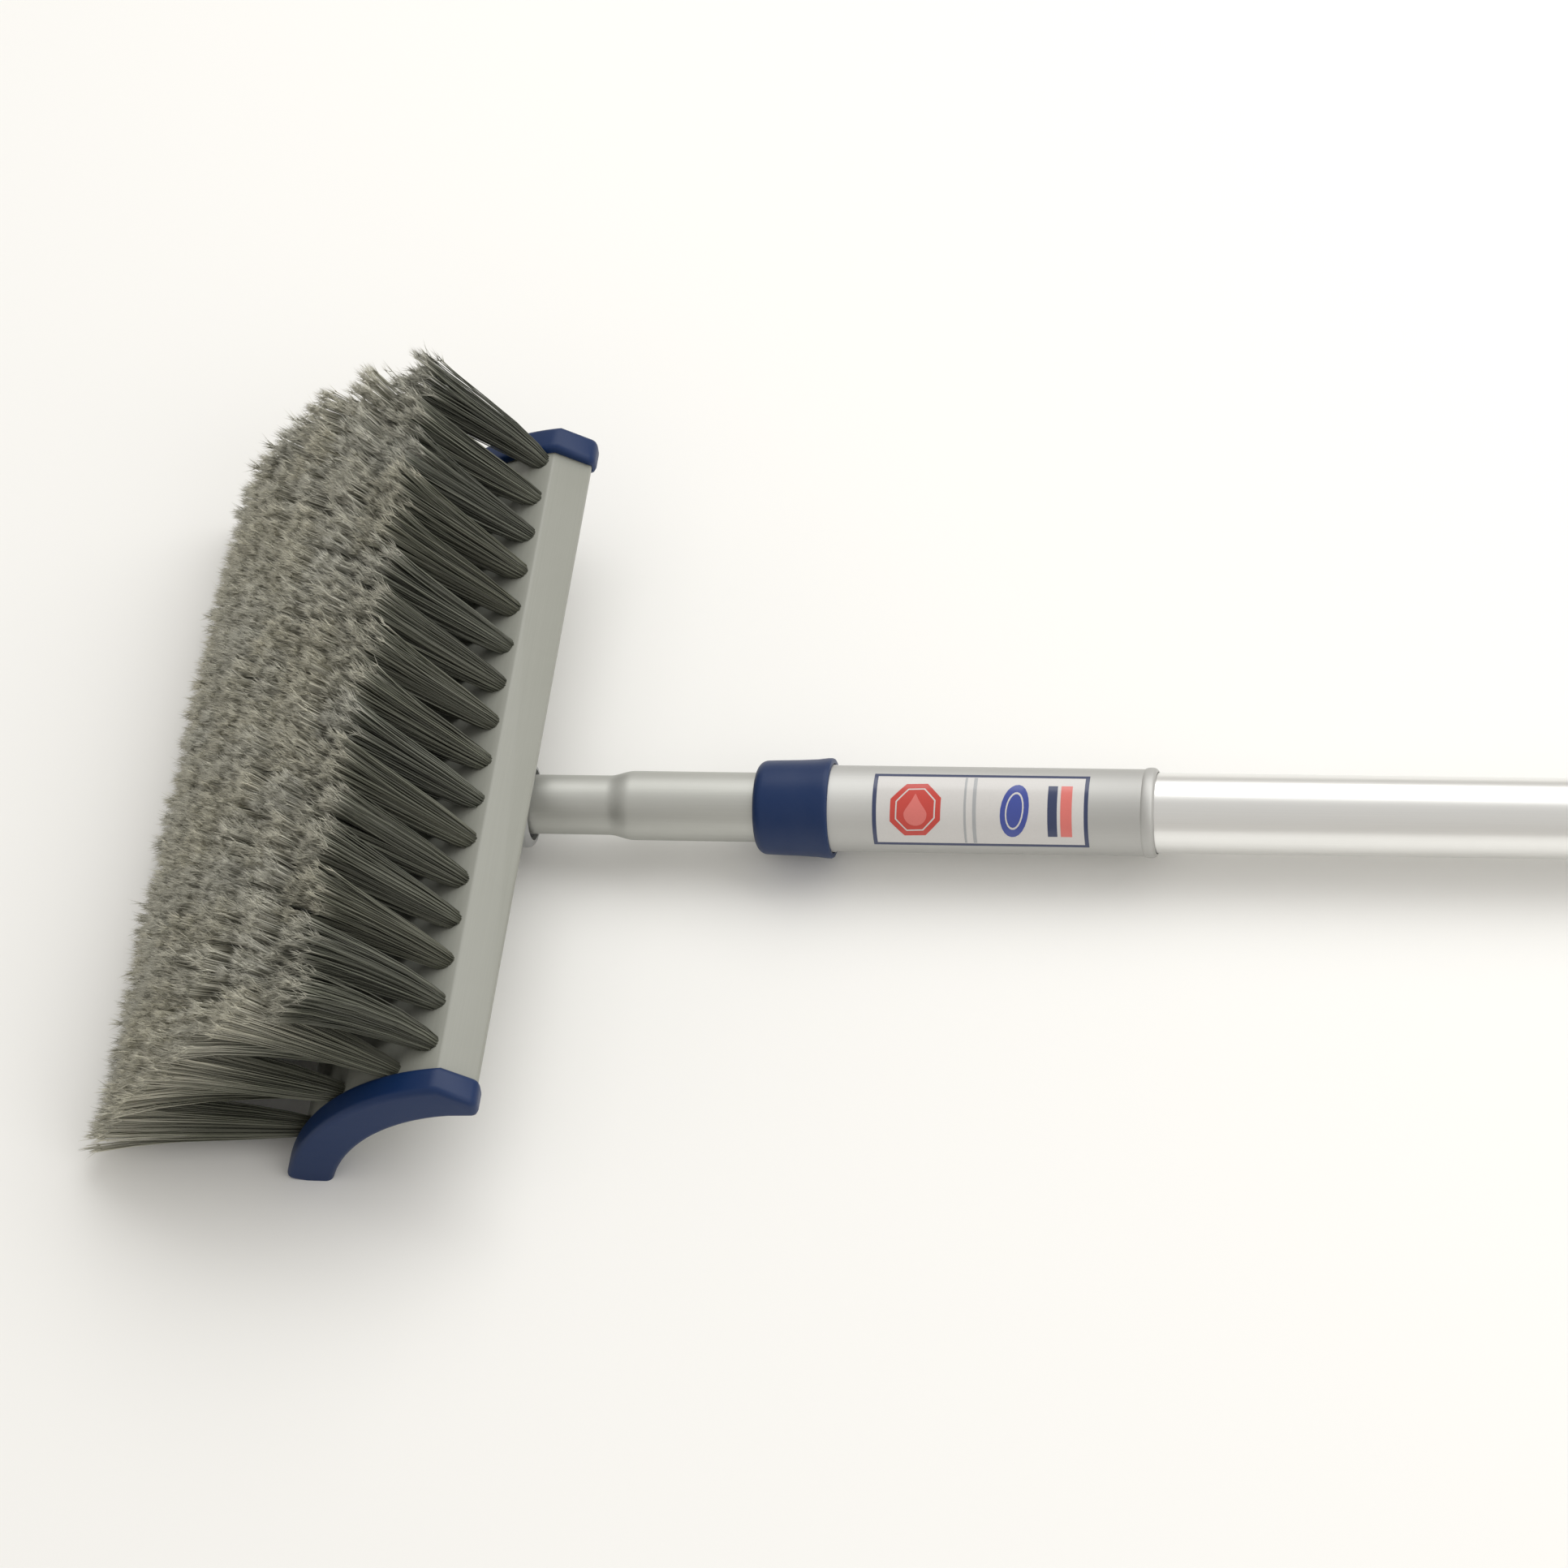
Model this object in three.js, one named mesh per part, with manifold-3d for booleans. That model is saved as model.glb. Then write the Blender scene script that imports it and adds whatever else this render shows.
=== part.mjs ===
// Telescoping flow-through wash brush: a curved brush head on a hollow two-part
// pole, with a twist lock, a foam grip, a shut-off valve and a hose connector.
// Millimetres, +Z up. The brush lies on a table with the pole along +X (head at
// the -X end), resting on the feet of its two end bumpers and on its grip.
import * as THREE from 'three';
import { mergeVertices } from 'three/addons/utils/BufferGeometryUtils.js';
import Module from 'manifold-3d';

const wasm = await Module();
wasm.setup();

// ---------------------------------------------------------------- driving dimensions
// x is measured along the pole from the crest of the head, z from the pole's axis.
const AXIS_HEIGHT = 19;            // pole axis above the table
const CLEARANCE = 0.3;             // gap between pieces that touch

const HEAD = {
  arcX: 6, arcZ: -37,              // centre of the head's curve
  outer: 65.5, inner: 56,          // convex (bristle) side and concave (pole) side
  channelInner: 58.5, channelOuter: 61,
  edge: 58,                        // radius that the sloping front strip runs down to
  start: 89, crest: 99, end: 158.5, // angles of the front edge, crest line and rear edge
  half: 129,                       // half the length of the block
};
const CHANNELS = [[103, 118], [121, 136], [139, 154]];
const CHANNEL_MIDDLE = (HEAD.channelInner + HEAD.channelOuter) / 2;
const OUTLET = { count: 8, pitch: 31.75, radius: 1.25, angle: 148.5 };

const BUMPER = { inside: 126, outside: 136, rim: 2.5, recess: 130.9 };
const END_GASKET = { inside: 129.3, outside: 130.6 };

const ROWS = 6;                    // bristle rows, front (top) to rear (bottom)
const BRISTLE = {
  firstAngle: 103.2, stepAngle: 10.06,  // where each row stands on the curve
  firstLean: 135, stepLean: 8.1,        // the way each row points, from +X
  firstLength: 56.6, stepLength: 1.8,
  rootGap: 0.4,                         // from the block to the first of the filaments
  rootHalfAngle: 2.3, tipHalf: 8.5,     // half thickness at root (degrees) and tip
  rootHalfSpan: 121, tipHalfSpan: 135.5,
  stagger: 3.97,                        // neighbouring rows are half a pitch apart
};

const POLE = {
  neckRadius: 9.525, innerRadius: 11.1, outerRadius: 12.7,
  wall: 1.25, outerBore: 11.5,
  neckStart: -19, taperStart: 27.6, taperEnd: 36, innerEnd: 735,
  outerStart: 95, outerEnd: 800,
};

const SOCKET = {
  radius: 14, mouth: 3, stop: -19.5, passage: 6, waterAngle: 140.6,
  sealBore: 11.6, sealDepth: 4,
  flangeOuter: 54.7, flangeInner: 51.7, flangeStart: 122, flangeEnd: 157, flangeHalf: 21,
  gasketInner: 55, gasketOuter: 55.7, screwHalf: 17.2, screwAngles: [128, 150],
};
const SCREW = { hole: 1.6, holeEnd: 58, shank: 1.3, tip: 57.7, seat: 51.3, head: 2.8, top: 49.2 };
const PIN = { x: -9.5, radius: 2, head: 3.4, shankHalf: 14.3, half: 15.5 };

const NUT = {
  front: 75, back: 101.2, bore: 14.35, lip: 11.6, lipBack: 78, coneRadius: 11.9, coneBack: 85,
  nose: [[75, 13.2], [75.6, 14.1], [77.4, 14.6]], rim: [[100.4, 16], [101.2, 15.4]],
};
const COLLET = {
  front: 79.2, shoulder: 85.5, back: 91.5, bore: 11.45, noseRadius: 12, radius: 13.9,
  slotEnd: 88, slotWidth: 1.2,
};
const WIPER = { front: 92.4, back: 94.7, bore: 11.45, radius: 12.7 };
const SLEEVE = {
  nose: 92, body: 101.5, bead: 200.8, end: 204.4, radius: 13.75, bore: 13,
  noseRise: 0.2, beadRise: 0.5, beadEase: 0.9,
};
const PISTON = { spigot: 721, spigotRadius: 9.5, face: 735.4, end: 749, radius: 11.15, bore: 6 };
const PISTON_GROOVES = [737.5, 743];
const GROOVE = { width: 2.4, floor: 9.8 };         // for a ring that seals on the outer tube
const SEAL = { bore: 10.1, radius: 11.2, width: 1.6 };
const GRIP = { start: 575, end: 799.5, radius: 19, bore: 13 };

const VALVE = {
  spigot: 778, plugRadius: 11.15, plugGroove: 785, collar: 800.3, collarEnd: 809, collarRadius: 15,
  barrel: 812, chamber: 815.5, end: 848, barrelRadius: 13, chamberRadius: 9.3, bore: 6,
  stemX: 826, stemHole: 3.3, sealHole: 4.9, sealFloor: 12.8, bossRadius: 6.5, bossTop: 15.5,
};
const BALL = { radius: 8.3, bore: 5, slotWidth: 2.2, slotFloor: 6.6 };
const STEM = {
  radius: 3, bottom: 8.7, top: 19.5, tapRadius: 1.5, tapFloor: 12,
  tongueLength: 5, tongueWidth: 1.6, tongueBottom: 6.7, tongueTop: 9.7,
};
const STEM_SEAL = { bottom: 13.1, top: 15.2, bore: 3.3, radius: 4.6 };
const SEATS = {
  front: 815.9, frontDepth: 4.6, rear: 835.9, rearDepth: -4.4, bore: 6.3, lip: 8.2, radius: 9,
};
const LEVER = {
  reach: 33, hub: 7, end: 5, bottom: 17, thickness: 3.6, collar: 5.2, collarBottom: 15.9,
  collarTop: 19, socketTop: 19.8, sweep: 0.46 * Math.PI,
};
const LEVER_SCREW = { shank: 1.2, bottom: 13, seat: 20.9, head: 3.4, edge: 22, crown: 2, top: 22.6 };
const TAIL = { front: 836.2, radius: 9, flange: 854.4, flangeRadius: 12.6, end: 857.4 };
const HOSE = {
  nutFront: 849, collarEnd: 851, waistEnd: 872, nutBack: 873, collarRadius: 13.6, nutRadius: 15.8,
  mouthRadius: 15, thread: 13.3, bore: 9.4, threadFront: 854,
};
const WASHER = { front: 857.8, back: 860.4, bore: 7, radius: 12.5 };

// ---------------------------------------------------------------- finishes
const finish = (color, roughness, metalness = 0) =>
  new THREE.MeshStandardMaterial({ color, roughness, metalness });
const FINISH = {
  block: () => finish(0xb4b6b3, 0.5),
  navy: () => finish(0x1e3560, 0.4),
  bristle: () => finish(0x6b6a62, 0.9),
  aluminium: () => finish(0xd5d7d8, 0.28, 1),
  satin: () => finish(0xc4c6c6, 0.45, 1),
  rubber: () => finish(0x1c1c1e, 0.8),
  white: () => finish(0xe6e4dc, 0.5),
  steel: () => finish(0xb9bbbd, 0.3, 1),
  foam: () => finish(0x2b2c2f, 0.95),
  brass: () => finish(0xb8924a, 0.35, 1),
  grey: () => finish(0x8d9092, 0.45),
};

// ---------------------------------------------------------------- shape helpers
const radians = (degrees) => THREE.MathUtils.degToRad(degrees);
const onArc = (radius, degrees) => new THREE.Vector2(
  HEAD.arcX + radius * Math.cos(radians(degrees)),
  HEAD.arcZ + radius * Math.sin(radians(degrees)),
);

// A ring or rod round the pole: (x, radius) points, closed on themselves or on the axis.
function turned(points, segments = 28) {
  const outline = points.map(([x, r]) => new THREE.Vector2(r, x));
  const closed = outline[0].x === 0 && outline.at(-1).x === 0;
  if (!closed) outline.push(outline[0].clone());
  if (THREE.ShapeUtils.area(outline) < 0) outline.reverse();
  return new THREE.LatheGeometry(outline, segments).rotateZ(-Math.PI / 2);
}

// A plain tube, from one x to the other.
const tube = (x0, x1, bore, radius, segments = 28) => turned(
  [[x0, bore], [x0, radius], [x1, radius], [x1, bore]], segments);

// A section drawn in X and Z, running from y0 to y1 across the head.
function across(shape, y0, y1, curveSegments = 8) {
  const body = new THREE.ExtrudeGeometry(
    shape, { depth: y1 - y0, bevelEnabled: false, curveSegments });
  return body.rotateX(Math.PI / 2).translate(0, y1, 0);
}

// The head's crescent section: a sloping front strip, the round outside and the hollow inside.
function crescent(outer, inner, edge, start, crest, endOuter, endInner) {
  const shape = new THREE.Shape();
  const corner = onArc(inner, start);
  const frontEdge = onArc(edge, start);
  shape.moveTo(corner.x, corner.y);
  shape.lineTo(frontEdge.x, frontEdge.y);
  shape.absarc(HEAD.arcX, HEAD.arcZ, outer, radians(crest), radians(endOuter), false);
  shape.absarc(HEAD.arcX, HEAD.arcZ, inner, radians(endInner), radians(start), true);
  return shape;
}

// The block's own section, grown by `grow` on every side.
const blockSection = (grow = 0) => crescent(
  HEAD.outer + grow, HEAD.inner - grow, HEAD.edge + grow,
  HEAD.start - grow, HEAD.crest - grow / 2, HEAD.end + grow, HEAD.end + grow);

// A curved slab between two radii and two angles of the head's curve.
function arcBand(inner, outer, from, to) {
  const band = new THREE.Shape();
  band.absarc(HEAD.arcX, HEAD.arcZ, outer, radians(from), radians(to), false);
  band.absarc(HEAD.arcX, HEAD.arcZ, inner, radians(to), radians(from), true);
  return band;
}

// A cylinder that points away from the centre of the head's curve.
function spoke(radius, from, to, degrees, y, segments = 12) {
  const rod = new THREE.CylinderGeometry(radius, radius, to - from, segments);
  rod.translate(0, (from + to) / 2, 0).rotateX(Math.PI / 2);
  return rod.rotateY(Math.PI / 2 - radians(degrees)).translate(HEAD.arcX, y, HEAD.arcZ);
}

// The four holes of the socket's screws, from one radius to another.
const screwPlaces = [-SOCKET.screwHalf, SOCKET.screwHalf].flatMap(
  (y) => SOCKET.screwAngles.map((angle) => [angle, y]));
const screwHoles = (from, to) => screwPlaces.map(
  ([angle, y]) => spoke(SCREW.hole, from, to, angle, y, 8));

const upright = (radius, z0, z1, x, segments = 20) =>
  new THREE.CylinderGeometry(radius, radius, z1 - z0, segments)
    .rotateX(Math.PI / 2).translate(x, 0, (z0 + z1) / 2);

// ---------------------------------------------------------------- cutting and joining
function solid(geometry) {
  const plain = geometry.clone();
  plain.deleteAttribute('normal');
  plain.deleteAttribute('uv');
  const merged = mergeVertices(plain, 1e-5);
  return new wasm.Manifold(new wasm.Mesh({
    numProp: 3,
    vertProperties: new Float32Array(merged.attributes.position.array),
    triVerts: new Uint32Array(merged.index.array),
  }));
}

function shaped(manifold) {
  const mesh = manifold.getMesh();
  const geometry = new THREE.BufferGeometry();
  geometry.setAttribute('position', new THREE.BufferAttribute(mesh.vertProperties, 3));
  geometry.setIndex(new THREE.BufferAttribute(mesh.triVerts, 1));
  geometry.computeVertexNormals();
  return geometry;
}

const cut = (base, ...tools) => shaped(
  tools.reduce((left, tool) => left.subtract(solid(tool)), solid(base)));

// ---------------------------------------------------------------- assembly groups
const brush = new THREE.Group();
brush.position.z = AXIS_HEIGHT;
const head = new THREE.Group();
const pole = new THREE.Group();
const lock = new THREE.Group();
const inlet = new THREE.Group();
brush.add(head, pole, lock, inlet);

function place(group, name, geometry, material) {
  const mesh = new THREE.Mesh(geometry, material);
  mesh.name = name;
  group.add(mesh);
}

// ---------------------------------------------------------------- brush head
function headBlock() {
  const section = blockSection();
  for (const [from, to] of CHANNELS) {
    section.holes.push(arcBand(HEAD.channelInner, HEAD.channelOuter, from, to));
  }
  const holes = [
    spoke(SOCKET.passage, HEAD.inner - 6, CHANNEL_MIDDLE, SOCKET.waterAngle, 0, 20),
    ...screwHoles(HEAD.inner - 2, SCREW.holeEnd),
  ];
  for (let i = 0; i < OUTLET.count; i += 1) {
    const y = (i - (OUTLET.count - 1) / 2) * OUTLET.pitch;
    holes.push(spoke(OUTLET.radius, CHANNEL_MIDDLE, HEAD.outer + 1.5, OUTLET.angle, y));
  }
  return cut(across(section, -HEAD.half, HEAD.half, 5), ...holes);
}

// The outer angle at which the curve of this radius meets the table.
const footAngle = (radius) =>
  180 - THREE.MathUtils.radToDeg(Math.asin((-AXIS_HEIGHT - HEAD.arcZ) / radius));

function endBumper(side) {
  const outer = HEAD.outer + BUMPER.rim;
  const inner = HEAD.inner - BUMPER.rim;
  const section = crescent(outer, inner, HEAD.edge + BUMPER.rim,
    HEAD.start - 2, HEAD.crest - 1, footAngle(outer), footAngle(inner));
  const [near, far] = [BUMPER.inside, BUMPER.outside].map((y) => side * y).sort((a, b) => a - b);
  const bottom = side * BUMPER.recess;
  const mouth = side * (BUMPER.inside - 1);
  return cut(across(section, near, far),
    across(blockSection(CLEARANCE), Math.min(mouth, bottom), Math.max(mouth, bottom)));
}

function endGasket(side) {
  const faces = [END_GASKET.inside, END_GASKET.outside].map((y) => side * y);
  return across(blockSection(), Math.min(...faces), Math.max(...faces));
}

// One row of tufts as a plain tapered slab, spreading towards its tips.
function bristleRow(row) {
  const angle = BRISTLE.firstAngle + row * BRISTLE.stepAngle;
  const lean = radians(BRISTLE.firstLean + row * BRISTLE.stepLean);
  const length = BRISTLE.firstLength + row * BRISTLE.stepLength;
  const rootRadius = HEAD.outer + BRISTLE.rootGap;
  const along = new THREE.Vector2(Math.cos(lean), Math.sin(lean));
  const side = new THREE.Vector2(along.y, -along.x);
  const tip = onArc(rootRadius, angle).addScaledVector(along, length);
  const corners = [
    onArc(rootRadius, angle - BRISTLE.rootHalfAngle),
    onArc(rootRadius, angle + BRISTLE.rootHalfAngle),
    tip.clone().addScaledVector(side, -BRISTLE.tipHalf),
    tip.clone().addScaledVector(side, BRISTLE.tipHalf),
  ];
  const shift = row % 2 === 0 ? BRISTLE.stagger : -BRISTLE.stagger;
  const spans = [BRISTLE.rootHalfSpan, BRISTLE.rootHalfSpan, BRISTLE.tipHalfSpan, BRISTLE.tipHalfSpan];
  const points = [];
  for (const y of [1, -1]) {
    corners.forEach((corner, i) => points.push(corner.x, y * spans[i] + shift, corner.y));
  }
  const geometry = new THREE.BufferGeometry();
  geometry.setAttribute('position', new THREE.Float32BufferAttribute(points, 3));
  const faces = [];
  const quad = (a, b, c, d) => faces.push(a, b, c, a, c, d);
  quad(0, 1, 2, 3);
  quad(7, 6, 5, 4);
  for (let i = 0; i < 4; i += 1) {
    const next = (i + 1) % 4;
    quad(next, i, i + 4, next + 4);
  }
  geometry.setIndex(faces);
  return geometry;
}

place(head, 'head_block', headBlock(), FINISH.block());
for (const [name, side] of [['near', -1], ['far', 1]]) {
  place(head, `end_bumper_${name}`, endBumper(side), FINISH.navy());
  place(head, `end_gasket_${name}`, endGasket(side), FINISH.rubber());
}
for (let row = 0; row < ROWS; row += 1) {
  place(head, `bristle_row_${row + 1}`, bristleRow(row), FINISH.bristle());
}

// ---------------------------------------------------------------- pole socket on the head
function poleSocket() {
  const inside = new THREE.CylinderGeometry(
    SOCKET.flangeOuter, SOCKET.flangeOuter, 4 * SOCKET.flangeHalf, 96);
  inside.translate(HEAD.arcX, 0, HEAD.arcZ);
  const boss = solid(turned([[-60, 0], [-60, SOCKET.radius], [SOCKET.mouth - 1, SOCKET.radius],
    [SOCKET.mouth, SOCKET.radius - 1], [SOCKET.mouth, 0]])).intersect(solid(inside));
  const flange = solid(across(
    arcBand(SOCKET.flangeInner, SOCKET.flangeOuter, SOCKET.flangeStart, SOCKET.flangeEnd),
    -SOCKET.flangeHalf, SOCKET.flangeHalf));
  let socket = boss.add(flange);
  const tools = [
    turned([[SOCKET.stop, 0], [SOCKET.stop, POLE.neckRadius + CLEARANCE],
      [SOCKET.mouth + 1, POLE.neckRadius + CLEARANCE], [SOCKET.mouth + 1, 0]]),
    turned([[-60, 0], [-60, SOCKET.passage], [SOCKET.stop + 1, SOCKET.passage], [SOCKET.stop + 1, 0]], 20),
    turned([[SOCKET.mouth - SOCKET.sealDepth, 0], [SOCKET.mouth - SOCKET.sealDepth, SOCKET.sealBore],
      [SOCKET.mouth + 1, SOCKET.sealBore], [SOCKET.mouth + 1, 0]]),
    new THREE.CylinderGeometry(PIN.radius + CLEARANCE, PIN.radius + CLEARANCE, 60, 12)
      .translate(PIN.x, 0, 0),
    ...screwHoles(SCREW.top - 4, HEAD.outer),
  ];
  for (const tool of tools) socket = socket.subtract(solid(tool));
  return shaped(socket);
}

function socketGasket() {
  const sheet = across(
    arcBand(SOCKET.gasketInner, SOCKET.gasketOuter, SOCKET.flangeStart, SOCKET.flangeEnd),
    -SOCKET.flangeHalf, SOCKET.flangeHalf);
  return cut(sheet,
    spoke(SOCKET.passage + 1, SOCKET.flangeInner, HEAD.outer, SOCKET.waterAngle, 0, 20),
    ...screwHoles(SOCKET.flangeInner, HEAD.outer));
}

function socketScrew(angle, y) {
  const shank = solid(spoke(SCREW.shank, SCREW.seat - 0.8, SCREW.tip, angle, y, 8));
  const cap = solid(spoke(SCREW.head, SCREW.top, SCREW.seat, angle, y, 12));
  return shaped(shank.add(cap));
}

const crossPin = () => turned([[-PIN.half, 0], [-PIN.half, PIN.head - 1], [-PIN.half + 0.7, PIN.head],
  [-PIN.shankHalf, PIN.head], [-PIN.shankHalf, PIN.radius], [PIN.shankHalf, PIN.radius],
  [PIN.shankHalf, PIN.head], [PIN.half - 0.7, PIN.head], [PIN.half, PIN.head - 1], [PIN.half, 0]], 12)
  .rotateZ(Math.PI / 2).translate(PIN.x, 0, 0);

// An O-ring round the pole's axis, as a ring of six-sided section.
const oRing = (x, bore, radius, width) => turned([
  [x - width / 4, bore], [x - width / 2, (bore + radius) / 2], [x - width / 4, radius],
  [x + width / 4, radius], [x + width / 2, (bore + radius) / 2], [x + width / 4, bore]], 20);

place(head, 'pole_socket', poleSocket(), FINISH.grey());
place(head, 'socket_gasket', socketGasket(), FINISH.rubber());
screwPlaces.forEach(([angle, y], i) => {
  place(head, `socket_screw_${i + 1}`, socketScrew(angle, y), FINISH.steel());
});
place(head, 'neck_pin', crossPin(), FINISH.steel());
place(head, 'neck_oring',
  oRing(SOCKET.mouth - 2.2, POLE.neckRadius + CLEARANCE, SOCKET.sealBore - CLEARANCE, 2),
  FINISH.rubber());

// ---------------------------------------------------------------- telescoping pole
function innerTube() {
  const { neckStart, taperStart, taperEnd, innerEnd, neckRadius, innerRadius, wall } = POLE;
  const swaged = turned([[neckStart, neckRadius - wall], [neckStart, neckRadius],
    [taperStart, neckRadius], [taperEnd, innerRadius], [innerEnd, innerRadius],
    [innerEnd, innerRadius - wall], [taperEnd, innerRadius - wall],
    [taperStart, neckRadius - wall]]);
  const pinHole = new THREE.CylinderGeometry(PIN.radius + CLEARANCE, PIN.radius + CLEARANCE, 40, 12);
  return cut(swaged, pinHole.translate(PIN.x, 0, 0));
}

// The four points of a seal's groove in an outside of this radius.
const groove = (x, radius) => [
  [x, radius], [x, GROOVE.floor], [x + GROOVE.width, GROOVE.floor], [x + GROOVE.width, radius]];
const tubeSeal = (x) => oRing(x + GROOVE.width / 2, SEAL.bore, SEAL.radius, SEAL.width);

function piston() {
  const { spigot, spigotRadius, face, end, radius, bore } = PISTON;
  const outline = [[spigot, bore], [spigot, spigotRadius], [face, spigotRadius], [face, radius]];
  for (const x of PISTON_GROOVES) outline.push(...groove(x, radius));
  return turned([...outline, [end, radius], [end, bore]], 20);
}

place(pole, 'inner_tube', innerTube(), FINISH.aluminium());
place(pole, 'piston', piston(), FINISH.white());
PISTON_GROOVES.forEach((x, i) => {
  place(pole, `piston_oring_${i + 1}`, tubeSeal(x), FINISH.rubber());
});
place(pole, 'outer_tube', tube(POLE.outerStart, POLE.outerEnd, POLE.outerBore, POLE.outerRadius),
  FINISH.aluminium());

function grip() {
  const { start, end, radius, bore } = GRIP;
  return turned([[start, bore], [start, radius - 3], [start + 1, radius - 1], [start + 3, radius],
    [end - 3, radius], [end - 1, radius - 1], [end, radius - 3], [end, bore]], 32);
}
place(pole, 'grip', grip(), FINISH.foam());

// ---------------------------------------------------------------- twist lock
const lockNut = () => turned([[NUT.front, NUT.lip], ...NUT.nose, ...NUT.rim, [NUT.back, NUT.bore],
  [NUT.coneBack, NUT.bore], [NUT.lipBack, NUT.coneRadius], [NUT.lipBack, NUT.lip]], 32);

// A ring with two crossed slots, so that four fingers close on the inner tube.
function collet() {
  const { front, shoulder, back, bore, noseRadius, radius, slotEnd, slotWidth } = COLLET;
  const ring = turned(
    [[front, bore], [front, noseRadius], [shoulder, radius], [back, radius], [back, bore]], 24);
  const slots = [Math.PI / 4, -Math.PI / 4].map((turn) =>
    new THREE.BoxGeometry(10, 3 * radius, slotWidth).translate(slotEnd - 5, 0, 0).rotateX(turn));
  return cut(ring, ...slots);
}

function lockSleeve() {
  const { nose, body, bead, end, radius, bore, noseRise, beadRise, beadEase } = SLEEVE;
  return turned([[nose, bore], [nose, radius + noseRise], [body, radius + noseRise], [body, radius],
    [bead, radius], [bead + beadEase, radius + beadRise], [end - beadEase, radius + beadRise],
    [end, radius - noseRise], [end, bore]]);
}

place(lock, 'lock_nut', lockNut(), FINISH.navy());
place(lock, 'collet', collet(), FINISH.white());
place(lock, 'wiper_ring', tube(WIPER.front, WIPER.back, WIPER.bore, WIPER.radius, 24),
  FINISH.rubber());
place(lock, 'lock_sleeve', lockSleeve(), FINISH.satin());

// ---------------------------------------------------------------- shut-off valve
function valveBody() {
  const barrel = solid(turned([[VALVE.spigot, 0], [VALVE.spigot, VALVE.plugRadius],
    ...groove(VALVE.plugGroove, VALVE.plugRadius), [VALVE.collar, VALVE.plugRadius],
    [VALVE.collar, VALVE.collarRadius], [VALVE.collarEnd, VALVE.collarRadius],
    [VALVE.barrel, VALVE.barrelRadius], [VALVE.end, VALVE.barrelRadius], [VALVE.end, 0]]));
  const boss = solid(upright(VALVE.bossRadius, VALVE.bore, VALVE.bossTop, VALVE.stemX));
  let body = barrel.add(boss);
  const tools = [
    turned([[VALVE.spigot - 5, 0], [VALVE.spigot - 5, VALVE.bore], [VALVE.stemX, VALVE.bore],
      [VALVE.stemX, 0]], 20),
    turned([[VALVE.chamber, 0], [VALVE.chamber, VALVE.chamberRadius],
      [VALVE.end + 5, VALVE.chamberRadius], [VALVE.end + 5, 0]]),
    upright(VALVE.stemHole, VALVE.bore, VALVE.bossTop + 5, VALVE.stemX),
    upright(VALVE.sealHole, VALVE.sealFloor, VALVE.bossTop + 5, VALVE.stemX),
  ];
  for (const tool of tools) body = body.subtract(solid(tool));
  return shaped(body);
}

function valveBall() {
  const { radius, slotWidth, slotFloor } = BALL;
  const ball = new THREE.SphereGeometry(radius, 16, 10).translate(VALVE.stemX, 0, 0);
  const [front, rear] = [VALVE.stemX - 2 * radius, VALVE.stemX + 2 * radius];
  const bore = turned([[front, 0], [front, BALL.bore], [rear, BALL.bore], [rear, 0]], 16);
  const slot = new THREE.BoxGeometry(3 * radius, slotWidth, 4).translate(VALVE.stemX, 0, slotFloor + 2);
  return cut(ball, bore, slot);
}

function valveStem() {
  const { radius, bottom, top, tongueBottom, tongueTop } = STEM;
  const shaft = solid(upright(radius, bottom, top, VALVE.stemX));
  const tongue = solid(
    new THREE.BoxGeometry(STEM.tongueLength, STEM.tongueWidth, tongueTop - tongueBottom)
      .translate(VALVE.stemX, 0, (tongueTop + tongueBottom) / 2));
  const tap = solid(upright(STEM.tapRadius, STEM.tapFloor, top + 5, VALVE.stemX, 8));
  return shaped(shaft.add(tongue).subtract(tap));
}

const stemRing = () => tube(
  STEM_SEAL.bottom, STEM_SEAL.top, STEM_SEAL.bore, STEM_SEAL.radius, 20)
  .rotateY(-Math.PI / 2).translate(VALVE.stemX, 0, 0);

// A teardrop lever, from the hub round the stem to a rounded end over the hose nut.
function valveLever() {
  const { reach, hub, end, bottom, thickness, sweep } = LEVER;
  const plate = new THREE.Shape();
  plate.absarc(0, 0, hub, sweep, 2 * Math.PI - sweep, false);
  plate.absarc(reach, 0, end, -sweep, sweep, false);
  const body = new THREE.ExtrudeGeometry(
    plate, { depth: thickness, bevelEnabled: false, curveSegments: 6 });
  const collar = solid(upright(LEVER.collar, LEVER.collarBottom, LEVER.collarTop, 0));
  const blade = solid(body.translate(0, 0, bottom));
  const socket = solid(upright(VALVE.stemHole, bottom - 5, LEVER.socketTop, 0));
  const screwHole = solid(upright(STEM.tapRadius, bottom - 5, bottom + 2 * thickness, 0, 8));
  return shaped(blade.add(collar).subtract(socket).subtract(screwHole)).translate(VALVE.stemX, 0, 0);
}

function leverScrew() {
  const { shank, bottom, seat, head: cap, edge, crown, top } = LEVER_SCREW;
  return turned([[bottom, 0], [bottom, shank], [seat, shank], [seat, cap], [edge, cap - 0.3],
    [top, crown], [top, 0]], 12).rotateY(-Math.PI / 2).translate(VALVE.stemX, 0, 0);
}

// The tail screws into the valve body behind the ball and holds the hose nut on.
const valveTail = () => turned([[TAIL.front, VALVE.bore], [TAIL.front, TAIL.radius],
  [TAIL.flange, TAIL.radius], [TAIL.flange, TAIL.flangeRadius], [TAIL.end, TAIL.flangeRadius],
  [TAIL.end, VALVE.bore]]);

const valveSeat = (x, depth) => turned([[x, SEATS.bore], [x, SEATS.radius],
  [x + depth, SEATS.radius], [x + depth, SEATS.lip]], 24);

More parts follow.
